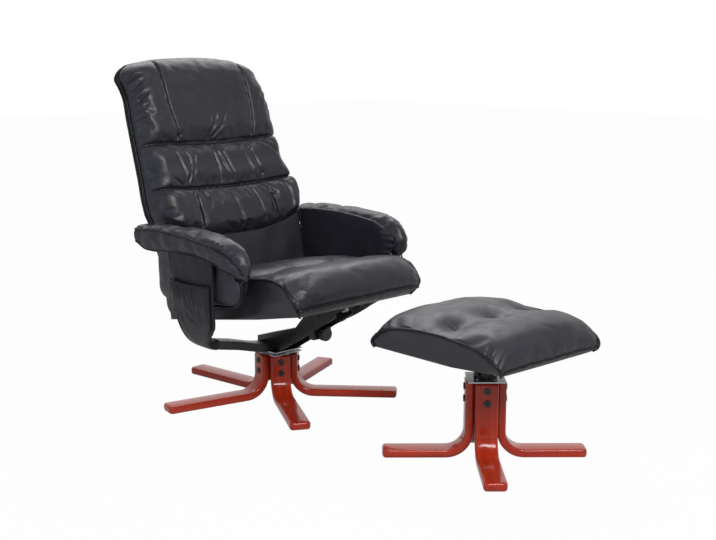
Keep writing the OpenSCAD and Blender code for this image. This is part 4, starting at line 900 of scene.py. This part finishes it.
def seat_field(x, y, run, length, height):
    rise = sum(tuft(x, y, cx, SEAT_ROW, depth=14, reach=46) for cx in SEAT_TUFTS)
    rise -= groove(y - SEAT_ROW, 18, 5) + groove(y - SEAT_ROW, 2.4, 4)
    lines = []
    for cx in SEAT_TUFTS:
        for slant, reach in TUFT_FOLDS:
            for way, spread, depth in ((1, 1.4, 4.5), (-1, 1.2, 4)):
                route = [(cx + way * slant / 3, SEAT_ROW + 2 * way),
                    (cx + way * slant, SEAT_ROW + way * reach / 2),
                    (cx + way * spread * slant, SEAT_ROW + way * reach)]
                lines.append((route, 6, depth, 0.05, 0.6))
    rise += creases(x, y, lines)
    rise *= ease((height - 0.85) / 0.1)
    rise += 0.6 * ripple(x, run, size=70, seed=31)
    edge = SEAT_W / 2 - np.abs(x)
    for k, share in enumerate(FRONT_GATHERS):
        offset = (length - share) * SEAT_LEN + (height - 0.7) * SEAT_H * 0.9
        gather = 3 * groove(offset + 0.18 * edge, 5, 1)
        rise -= gather * groove(edge, 26 + 4 * k, 1) * ease((height - 0.25) / 0.15)
    return rise


def seat_side(y, z, inward):
    half = seat_half((SEAT_REAR - y) / SEAT_LEN, z / SEAT_H)
    return half + 4.5 * crisp(inward, 26)


def seat():
    grid = boxed_cushion("seat", SEAT_BOTTOM, SEAT_UPPER, seat_half,
        lambda length, height: (SEAT_REAR - length * SEAT_LEN, height * SEAT_H), seat_field,
        seat_side, at_seat)
    start = len(SEAT_BOTTOM)
    side_pipings("seat", grid, slice(start, start + 99), at_seat)
    front = grid[4:-4, start + 12] + np.array([0, -1.5, -1.5])
    piping("seat_front_piping", front, at_seat, "seat", radius=5)


STOOL_BOTTOM = np.array([[0.05, 0, 0.05, 0], [0.35, 0, 0.35, 0], [0.65, 0, 0.65, 0],
    [0.95, 0, 0.95, 0]])
STOOL_HALF = np.array([[0.975, 0, 0.98, 0], [0.998, 0.15, 1, 0.25], [0.978, 0.38, 0.998, 0.63],
    [0.918, 0.61, 0.975, 0.96], [0.825, 0.79, 0.925, 1.17], [0.67, 0.92, 0.78, 1.33]])
STOOL_UPPER = np.concatenate([STOOL_HALF, [[0.5, 0.96, 0.5, 1.4]],
    STOOL_HALF[::-1] * np.array([-1, 1, -1, 1]) + np.array([1, 0, 1, 0])])
STOOL_DRAW, STOOL_TUCK = 3, 26
STOOL_TUFTS = ((-128, -18), (0, -26), (134, -18))
STOOL_FOLDS = ((8, 46), (60, 30), (118, 34), (176, 44), (236, 30), (300, 32))


def stool_half(length, height):
    tuck = STOOL_TUCK * np.maximum(0, 1 - 1.6 * height) ** 2 * ease((length - 0.76) / 0.2)
    return STOOL_W / 2 - drawn_in(length, height, STOOL_DRAW) - tuck


def stool_field(x, y, run, length, height):
    edge = STOOL_W / 2 - np.abs(x)
    rise = sum(tuft(x, y, cx, cy, depth=21, reach=44) for cx, cy in STOOL_TUFTS)
    rise -= groove(y + 22, 55, 6) * crisp(edge, 90)
    lines = []
    for cx, cy in STOOL_TUFTS:
        for angle, reach in STOOL_FOLDS:
            c, s = math.cos(math.radians(angle)), math.sin(math.radians(angle))
            route = [(cx + r * c, cy + r * s) for r in (5, reach / 2, reach)]
            lines.append((route, 6, 2.6, 0.05, 0.7))
    rise += creases(x, y, lines)
    rise *= ease((height - 0.7) / 0.2)
    rise += 0.7 * ripple(x, run, size=90, seed=41)
    for corner in (-1, 1):
        at_end = corner * y - STOOL_LEN * 0.42
        for k in range(5):
            gather = 3.6 * groove(at_end - 9 * k + 4 + 0.25 * edge, 4, 1)
            rise -= gather * groove(edge, 30 + 3 * k, 1) * ease((height - 0.2) / 0.2)
    return rise


def stool_side(y, z, inward):
    half = stool_half(0.5 - y / STOOL_LEN, (z - STOOL_Z) / STOOL_H)
    return half + 3.5 * crisp(inward, 22)


def stool():
    grid = boxed_cushion("stool", STOOL_BOTTOM, STOOL_UPPER, stool_half,
        lambda length, height: ((0.5 - length) * STOOL_LEN, STOOL_Z + height * STOOL_H),
        stool_field, stool_side, at_stool)
    start = len(STOOL_BOTTOM)
    side_pipings("stool", grid, slice(start, None), at_stool)
    for name, row in (("front", start + 7), ("rear", -8)):
        piping(f"stool_{name}_piping", grid[3:-3, row], at_stool, "stool", radius=4.2)


# Arms: x outward from the middle, on the sitter's left; the right one is mirrored
def on_both_arms(node, label, rings, look, pipings=()):
    """A piece on each arm, with pipings that are given by name, path and radius."""
    made = []
    for side, place in (("left", at_chair), ("right", mirrored(at_chair))):
        name = f"{node}_{side}"
        cover = piece(f"{name}_{label}", rings, place, look, "frame", [name])
        made.append((cover, [piping(f"{name}_{part}", path, place, "frame", radius)
            for part, path, radius in pipings]))
    return made


# Stations from the rear to the nose. Each row: outer ridge, outer lower edge, crown, inner
# shoulder and inner lower edge, each as x, y, z
PAD_ROWS = np.array([
    [[345, 212, 518], [345, 210, 482], [292, 212, 525], [270, 212, 512], [265, 212, 476]],
    [[345, 170, 520], [345, 170, 467], [290, 170, 526], [267, 170, 510], [264, 170, 469]],
    [[345, 117, 524], [345, 117, 465], [290, 117, 530], [267, 117, 514], [264, 117, 469]],
    [[345, 60, 523], [345, 60, 471], [290, 60, 532], [267, 60, 517], [264, 60, 470]],
    [[345, 0, 521], [345, 0, 476], [290, 0, 534], [267, 0, 518], [264, 0, 470]],
    [[345, -60, 516], [345, -60, 477], [290, -60, 533], [267, -60, 517], [264, -60, 470]],
    [[345, -111, 512], [345, -108, 471], [290, -111, 530], [267, -111, 514], [264, -111, 469]],
    [[344, -140, 508], [344, -136, 465], [290, -145, 526], [268, -145, 510], [264, -140, 466]],
    [[341, -163, 501], [341, -157, 458], [291, -172, 520], [269, -170, 503], [264, -160, 461]],
    [[337, -184, 492], [338, -177, 451], [292, -198, 511], [271, -194, 494], [266, -178, 456]],
    [[331, -202, 481], [331, -196, 443], [294, -219, 496], [275, -213, 480], [270, -196, 450]],
    [[325, -218, 467], [323, -210, 436], [297, -235, 475], [279, -228, 459], [274, -209, 434]],
    [[319, -228, 452], [316, -219, 430], [299, -241, 453], [286, -233, 441], [281, -219, 423]],
    [[312, -234, 438], [311, -226, 427], [302, -239, 432], [294, -233, 424], [292, -223, 414]]],
    float)
PAD_STEPS, PAD_TOP_W = 10, 130
BAND_POINTS, TOP_POINTS, UNDER_POINTS = 22, 62, 12
BAND_PUFF, PIPING_SINK = 4, 2.5
NOSE_FOLDS = (0.72, 0.755, 0.79, 0.825, 0.86, 0.9)
PAD_CAP_STEPS = (0.06, 0.16, 0.3, 0.5, 0.75)


def pad_ring(ridge, lower, crest, shoulder, inner):
    """One section of the pad, and each point's share along the band, the top or the underside."""
    t = np.linspace(0, 1, BAND_POINTS, endpoint=False)[:, None]
    band = lower + (ridge - lower) * t
    band[:, 0] += BAND_PUFF * (1 - np.abs(2 * t[:, 0] - 1) ** 2.2)
    lift = (ridge - lower) / max(np.linalg.norm(ridge - lower), 1e-6)
    near = ridge + (crest - ridge) * 0.3 + 5.5 * lift
    far = shoulder + (inner - shoulder) * 0.4 - np.array([1.5, 0, 0])
    over = catmull([ridge, near, crest, shoulder, far, inner], 20)
    top = evenly(over, arc_length(over)[-1] / TOP_POINTS)
    top = resampled(top, np.arange(len(top)), np.linspace(0, len(top) - 1, TOP_POINTS))
    t = np.linspace(0, 1, UNDER_POINTS + 2)[1:-1, None]
    under = inner + (lower - inner) * t
    return np.concatenate([band, top, under])


def pad_end(ring, bulge):
    """Rings that close one end of a pad, bulging out by the given amounts."""
    middle = ring.mean(0)
    return [middle + (ring - middle) * (1 - t) + crisp(np.array(t), 1) * np.array(bulge)
        for t in PAD_CAP_STEPS]


def arm_pads():
    rows = catmull(PAD_ROWS.reshape(len(PAD_ROWS), -1), PAD_STEPS).reshape(-1, 5, 3)
    grid = np.array([pad_ring(*row) for row in rows])
    count, around = grid.shape[:2]
    s, k = np.meshgrid(np.arange(count) / (count - 1), np.arange(around), indexing="ij")
    on_top = np.clip((k - BAND_POINTS) / TOP_POINTS, 0, 1)
    top_side = (k >= BAND_POINTS) & (k < BAND_POINTS + TOP_POINTS)
    out = outward(grid)
    pins = (np.abs(k - BAND_POINTS) < 2) | (k >= BAND_POINTS + TOP_POINTS) | (k == 0)
    pins = pins | (s < 0.02) | (s > 0.985)
    grid = grid + settled(grid, pins.astype(float), **PAD_STUFFING)
    from_ridge = np.linalg.norm(grid - grid[:, BAND_POINTS][:, None], axis=-1)
    run = arc_length(rows[:, 0])[:, None].repeat(around, 1)
    nose = ease((s - 0.62) / 0.3)
    gathers = np.sin(run / 3.4 + 3.2 * on_top + 0.8 * np.sin(run / 13))
    rise = -groove(from_ridge, 7, PIPING_SINK)
    rise += 0.5 * nose * gathers * groove(on_top - 0.8, 0.2, 1) * top_side
    rise += 1.4 * nose * gathers * groove(from_ridge, 15, 1) * top_side
    rise += 0.5 * ripple(run, on_top * PAD_TOP_W, size=60, seed=51)
    folds = []
    for share in NOSE_FOLDS:
        at = run[-1, 0] * share
        folds.append(([(at, 3), (at + 5, 13), (at + 7, 22)], 5, 2.2, 0.05, 0.6))
    rise += creases(run, on_top * PAD_TOP_W, folds) * top_side
    grid = grid + out * rise[..., None]
    rings = np.concatenate([pad_end(grid[0], (0, 5, 0))[::-1], grid,
        pad_end(grid[-1], (0, -3.5, -2.5))])
    ridge = grid[:, BAND_POINTS] + np.array([0.8, 0, 0.6])
    lower = grid[:, 0] + np.array([0.4, 0, 0])
    on_both_arms("arm_pad", "soft", rings, LEATHER,
        [("ridge_piping", ridge, 2.8), ("lower_piping", lower, 2.2)])


PANEL_NOSE = np.array([(440, -204), (425, -212), (412, -220), (396, -224), (375, -223),
    (362, -218), (352, -207), (346, -192), (343, -174)], float)
PANEL_MID = ARM_IN + ARM_T / 2
PANEL_LOW, PANEL_CEILING, PANEL_BACK, PANEL_SLANT = 343, 471, 147, 22
PANEL_REAR_R, PANEL_LOW_R, PANEL_PUFF = 34, 24, 2.2
# The lower edge falls to the rear, and a tab hangs down from it
EDGE_DROP, TAB_FRONT, TAB_REAR, TAB_DROP = 19, 4, 90, 32


def arm_panels():
    t, w = unit_grid(84, 260, endpoint=False)
    angle = 2 * np.pi * w
    ahead = np.sin(angle) > 0
    across = squared(np.cos(angle), np.where(ahead, 0.6, 0.3))
    share = 0.5 + 0.5 * squared(np.sin(angle), np.where(ahead, 0.85, 0.75))
    z = PANEL_LOW + t * (PANEL_CEILING - PANEL_LOW)
    front = table_at(PANEL_NOSE[::-1], z)
    front = front + PANEL_SLANT * (0.5 - 0.5 * across)
    rear = PANEL_BACK - 30 * (1 - crisp(z - PANEL_LOW, PANEL_REAR_R))
    y = rear + (front - rear) * share
    drop = EDGE_DROP * ease((y + 150) / 260)
    drop += TAB_DROP * ease((y - TAB_FRONT) / 18) * ease((TAB_REAR - y) / 14)
    z = z - drop * (1 - t) ** 2
    half = ARM_T / 2 * (0.5 + 0.5 * crisp(t * (PANEL_CEILING - PANEL_LOW), PANEL_LOW_R))
    puff = PANEL_PUFF * (1 - np.abs(2 * share - 1) ** 3) * crisp(t * 120, 40)
    x = PANEL_MID + across * (half + puff * np.abs(across))
    grid = np.stack([x, y, z], -1)
    at_front = ease((share - 0.8) / 0.2)
    rise = 1.7 * at_front * np.sin(x / 2.6 + z / 60) * (0.4 + ease((z - 395) / 40))
    rise += 0.6 * ripple(y, z, size=60, seed=61)
    grid = grid + outward(grid) * rise[..., None]
    seam = [(PANEL_MID + 12, y_at + 3, z_at) for z_at, y_at in PANEL_NOSE]
    seam += [(PANEL_MID + 10, -150, 341), (PANEL_MID + 12, -120, 338), (PANEL_MID + 12, -40, 330)]
    on_both_arms("arm_panel", "soft", grid, LEATHER, [("piping", catmull(seam, 6), 2.6)])


# Inner face of each arm: y and z along its top seam, then down its gathered front
INNER_TOP = np.array([(192, 518), (120, 524), (60, 526), (0, 526), (-80, 520), (-144, 512),
    (-182, 498), (-207, 482)], float)
INNER_FRONT = np.array([(343, -164), (363, -178), (396, -196), (422, -202), (442, -214),
    (460, -218), (480, -208), (498, -184)], float)
INNER_X, INNER_PUFF, INNER_LEAN, INNER_SKIN = 263.6, 4.6, 9, 6
INNER_REAR, INNER_LOW, INNER_HIGH = 190, 345, 500


def inner_faces():
    s, t = unit_grid(190, 80)
    z = INNER_LOW + t * (INNER_HIGH - INNER_LOW)
    for _ in range(6):
        front = table_at(INNER_FRONT, z)
        y = INNER_REAR + s * (front - INNER_REAR)
        z = INNER_LOW + t * (table_at(INNER_TOP[::-1], y) - INNER_LOW)
    from_front = (1 - s) * (INNER_REAR + 200)
    from_top = (1 - t) * 160
    edge = np.minimum.reduce([from_front, from_top, s * 380, t * 160])
    puff = INNER_PUFF * crisp(edge, 34)
    puff += 0.5 * ripple(y, z, size=80, seed=65) * crisp(edge, 20)
    gathers = np.sin(z / 2.9 + 0.9 * np.sin(z / 11)) * np.exp(-from_front / 13)
    puff += 1.6 * gathers * ease((z - 395) / 30)
    face = INNER_X + INNER_LEAN * ease((-y - 170) / 48)
    outer = np.stack([face - np.maximum(puff, 0), y, z], -1)
    inner = np.stack([face + INNER_SKIN, y, z], -1)
    on_both_arms("arm_panel", "inner", backed(outer, inner), LEATHER)


# Sleeve over each upright: its side outline, and the bow's line that it wraps
SLEEVE_SIDE = np.array([[1, 1], [0.914, 0.764], [0.863, 0.555], [0.82, 0.35], [0.81, 0.17],
    [0.81, 0], [0.47, 0], [0.38, 0.035], [0.24, 0.1], [0.1, 0.18], [0.02, 0.27], [0, 0.35],
    [0, 1]])
BOW_BENDS = np.array([[0, 0, 1], [0.16, 0, 1], [0.3, 0.055, 1], [0.49, 0.17, 1],
    [0.7, 0.265, 1], [0.8, 0.345, 0.96], [0.89, 0.475, 0.84], [0.955, 0.66, 0.66],
    [0.992, 0.85, 0.52]])
UPRIGHT_MID = ARM_IN + ARM_T + SLEEVE_SKIN + UPRIGHT_T / 2
SLEEVE_LIFT, SLEEVE_EASE = 7, 22
SLEEVE_SEAM = np.array([(293, 20), (365, 34), (391, 43), (426, 46), (467, 49)], float)
SLEEVE_CREASES = [
    ([(12, 378), (8, 367), (5, 352)], 5, 1.8, 0.05, 0.6),
    ([(-15, 344), (-23, 307), (-40, 285)], 8, 1.8, 0.2, 0.4),
    ([(-43, 310), (-70, 282), (-95, 262)], 8, 2, 0.2, 0.4),
    ([(20, 330), (-5, 296), (-30, 268)], 9, 1.6, 0.3, 0.4),
    ([(58, 300), (30, 300), (6, 286)], 7, 1.6, 0.1, 0.5),
]


def sleeve_line():
    """The middle of the steel inside the sleeve: x, z and half its thickness."""
    bends = np.stack([BOW_BENDS[:, 0] * UPRIGHT_MID, BOW_Z + BOW_H / 2 + BOW_BENDS[:, 1] * BOW_RISE,
        BOW_BENDS[:, 2] * BOW_H / 2], -1)
    high = BOW_Z + BOW_H / 2 + BOW_RISE
    tail = [[UPRIGHT_MID, high, UPRIGHT_T / 2]]
    tail += [[UPRIGHT_MID, z, UPRIGHT_T / 2] for z in (360, 400, 440, SLEEVE_TOP + SLEEVE_LIFT)]
    return evenly(catmull(np.concatenate([bends, tail]), 8), 3)


def sleeve_reach(z):
    """Where the sleeve's front and rear edges are at a height."""
    share = np.clip((z - SLEEVE_Z) / (SLEEVE_TOP - SLEEVE_Z), 0, 1)
    rear = table_at(SLEEVE_SIDE[5::-1, ::-1], share)
    front = table_at(SLEEVE_SIDE[6:12, ::-1], share)
    ahead = SLEEVE_EASE * ease((z - 235) / 60)
    return front * SLEEVE_W - SLEEVE_FRONT - ahead, rear * SLEEVE_W - SLEEVE_FRONT


def sleeve_face(z):
    """How far out the sleeve's outer skin is at a height."""
    line = sleeve_line()
    ahead = directions(line[:, :2])
    off = line[:, 2] + SLEEVE_SKIN
    return np.interp(z, line[:, 1] - off * ahead[:, 0], line[:, 0] + off * ahead[:, 1])


def sleeves():
    line = sleeve_line()
    line = line[line[:, 1] > SLEEVE_Z - 6]
    angle = 2 * np.pi * np.linspace(0, 1, 150, endpoint=False)
    across = squared(np.cos(angle), 0.35)
    along = squared(np.sin(angle), 0.8)
    rings = []
    for (x, z, half), (tx, tz) in zip(line, directions(line[:, :2])):
        front, rear = sleeve_reach(np.array(z))
        y = (front + rear) / 2 + along * (rear - front) / 2
        off = across * (half + SLEEVE_SKIN)
        rings.append(np.stack([x + off * tz, y, z - off * tx], -1))
    grid = np.array(rings)
    y, z = grid[..., 1], grid[..., 2]
    from_seam = y - table_at(SLEEVE_SEAM, z)
    rise = -groove(from_seam, 3, 1.6) + groove(from_seam - 6, 4, 0.9)
    rise += creases(y, z, SLEEVE_CREASES)
    rise += 0.6 * ripple(y, z, size=50, seed=71)
    grid = grid + outward(grid) * np.where(across > 0, rise, 0)[..., None]
    on_both_arms("arm_sleeve", "cover", grid, DARK_LEATHER)


POCKET_D, POCKET_REAR, POCKET_WALL = 12, 37, 1.6
POCKET_LOW, POCKET_LOW_RISE, POCKET_MOUTH, POCKET_SAG = 262, 46, 397, 4
GATHER_PITCH, GATHER_LEN = 15.5, 42
POCKET_CREASES = [
    ([(-26, 388), (-34, 366), (-45, 325)], 7, 2.6, 0.05, 0.6),
    ([(-65, 389), (-72, 362), (-84, 318)], 7, 2.6, 0.05, 0.6),
    ([(-8, 389), (-12, 366), (-22, 330)], 6, 2.4, 0.05, 0.6),
    ([(14, 388), (8, 366), (-2, 330)], 6, 2.2, 0.05, 0.6),
    ([(-20, 330), (-50, 300), (-80, 286)], 9, 1.6, 0.3, 0.4),
]


def pockets():
    """Open pouch on each sleeve: an outer wall that leans out, with a hem and gathers."""
    s, t = unit_grid(150, 90)
    top = POCKET_MOUTH - POCKET_SAG * np.sin(np.pi * s)
    low = POCKET_LOW + POCKET_LOW_RISE * ease((s - 0.5) / 0.5)
    z = low + t * (top - low)
    front, rear = sleeve_reach(z)
    front = front + 1.5
    rear = np.minimum(rear - 2, POCKET_REAR)
    y = front + s * (rear - front)
    sides = crisp(s, 0.1) * crisp(1 - s, 0.1)
    below = top - z
    gathers = np.sin(2 * np.pi * (y + 0.22 * below) / GATHER_PITCH + 0.9 * np.sin(y / 19))
    gathers = gathers * np.exp(-(below / GATHER_LEN) ** 1.5) * ease(below / 6 + 0.35)
    swell = POCKET_D * ease(t / 0.85) * (0.15 + 0.85 * sides)
    swell += (1.5 * gathers + creases(y, z, POCKET_CREASES)) * sides * crisp(t, 0.2)
    swell += 0.4 * ripple(y, z, size=34, seed=81) * sides * crisp(t, 0.2)
    x = sleeve_face(z) + 0.6 + POCKET_WALL + np.maximum(swell, 0.2)
    outer = np.stack([x, y, z], -1)
    inner = outer - np.array([POCKET_WALL, 0, 0])
    hem = outer[:, -1] + np.array([-POCKET_WALL / 2, 0, 0])
    pouches = on_both_arms("magazine_pocket", "pouch", backed(outer, inner), DARK_LEATHER,
        pipings=[("hem", hem, 2.4)])


dress_cad_nodes()
legs()
pillow()
lumbar()
shell()
back_pipings()
seat()
stool()
arm_pads()
arm_panels()
inner_faces()
sleeves()
pockets()

# Camera at the photograph's place
CAMERA_AT = (-2.24186, -2.35786, 1.05799)
CAMERA_TURN, CAMERA_RISE, LENS = -44.39, 11.13, 60.04


def camera():
    data = bpy.data.cameras.new("camera")
    data.lens = LENS
    data.sensor_width = 36
    data.clip_end = 100
    made = linked("camera", data)
    a, e = math.radians(CAMERA_TURN), math.radians(CAMERA_RISE)
    right = Vector((math.cos(a), math.sin(a), 0))
    back = Vector((math.sin(a) * math.cos(e), -math.cos(a) * math.cos(e), math.sin(e)))
    up = back.cross(right)
    turn = Matrix((right, up, back)).transposed().to_4x4()
    made.matrix_world = Matrix.Translation(CAMERA_AT) @ turn
    bpy.context.scene.camera = made


def area_light(name, at, towards, size, watts, color=(1, 1, 1)):
    data = bpy.data.lights.new(name, "AREA")
    data.shape = "RECTANGLE"
    data.size, data.size_y = size
    data.energy = watts
    data.color = color
    made = linked(name, data)
    made.location = at
    made.rotation_euler = (Vector(towards) - Vector(at)).to_track_quat("-Z", "Y").to_euler()


def background_rays(n):
    """1 for rays that show the background itself: seen, mirrored or through glass."""
    path = n.add("ShaderNodeLightPath").outputs
    mirrored_rays = n.math("MAXIMUM", path["Is Glossy Ray"], path["Is Transmission Ray"])
    return n.math("MAXIMUM", path["Is Camera Ray"], mirrored_rays)


def camera_rays(n):
    return n.add("ShaderNodeLightPath").outputs["Is Camera Ray"]


WORLD_LIGHT, FLOOR_SIZE, FLOOR_TONE = 0.42, 12, 0.55
# How bright the floor shows to the camera, and in mirrored rays
FLOOR_SEEN, FLOOR_MIRRORED = 0.975, 0.3
# In mirrored rays the studio is bright towards one side and dim on the other
BRIGHT_SIDE = (0.9, 0.42, 0.1)
BRIGHT_MIRRORED, DIM_MIRRORED = 0.92, 0.28


def mirrored_studio(n):
    """Strength of the background: full for the camera, and by direction in mirrored rays."""
    facing = n.add("ShaderNodeVectorMath", {0: n.way, 1: BRIGHT_SIDE}, operation="DOT_PRODUCT")
    share = n.add("ShaderNodeMapRange", {"Value": facing.outputs["Value"], "From Min": -0.5,
        "From Max": 1, "To Min": DIM_MIRRORED, "To Max": BRIGHT_MIRRORED})
    return n.math("MAXIMUM", camera_rays(n), share.outputs["Result"])


def world():
    made = bpy.data.worlds.new("studio")
    bpy.context.scene.world = made
    made.use_nodes = True
    made.node_tree.nodes.clear()
    n = Nodes(made)
    light = n.add("ShaderNodeBackground", {"Strength": WORLD_LIGHT})
    seen = n.add("ShaderNodeBackground", {"Color": (1, 1, 1, 1), "Strength": mirrored_studio(n)})
    mix = n.add("ShaderNodeMixShader", {"Fac": background_rays(n), 1: light.outputs[0],
        2: seen.outputs[0]})
    n.add("ShaderNodeOutputWorld", {"Surface": mix.outputs[0]})


def floor():
    corners = [(x * FLOOR_SIZE, y * FLOOR_SIZE, 0) for x, y in ((-1, -1), (1, -1), (1, 1), (-1, 1))]
    mesh = bpy.data.meshes.new("floor")
    mesh.from_pydata(corners, [], [(0, 1, 2, 3)])
    made = linked("floor", mesh)
    material, bsdf = shader("floor_paper", (FLOOR_TONE,) * 3, 0.9)
    n = Nodes(material)
    glow = n.add("ShaderNodeEmission", {"Strength": 1})
    seen = n.math("MULTIPLY", camera_rays(n), FLOOR_SEEN)
    mirrored_floor = n.math("MULTIPLY", background_rays(n), FLOOR_MIRRORED)
    mix = n.add("ShaderNodeMixShader", {"Fac": n.math("MAXIMUM", mirrored_floor, seen),
        1: bsdf.outputs[0], 2: glow.outputs[0]})
    n.tree.links.new(mix.outputs[0], n.tree.nodes["Material Output"].inputs["Surface"])
    mesh.materials.append(material)


camera()
world()
floor()
area_light("key", (-1.4, -2.9, 2.9), (0, 0, 0.4), size=(1.6, 1.2), watts=112)
area_light("overhead", (1.2, 1.9, 3.0), (0, 0, 0.4), size=(3.2, 1.8), watts=62)
area_light("side", (-3.2, 0.6, 1.3), (0, 0, 0.5), size=(1.6, 2.0), watts=14, color=(0.72, 0.8, 1.0))
bpy.context.scene.view_settings.view_transform = "Standard"
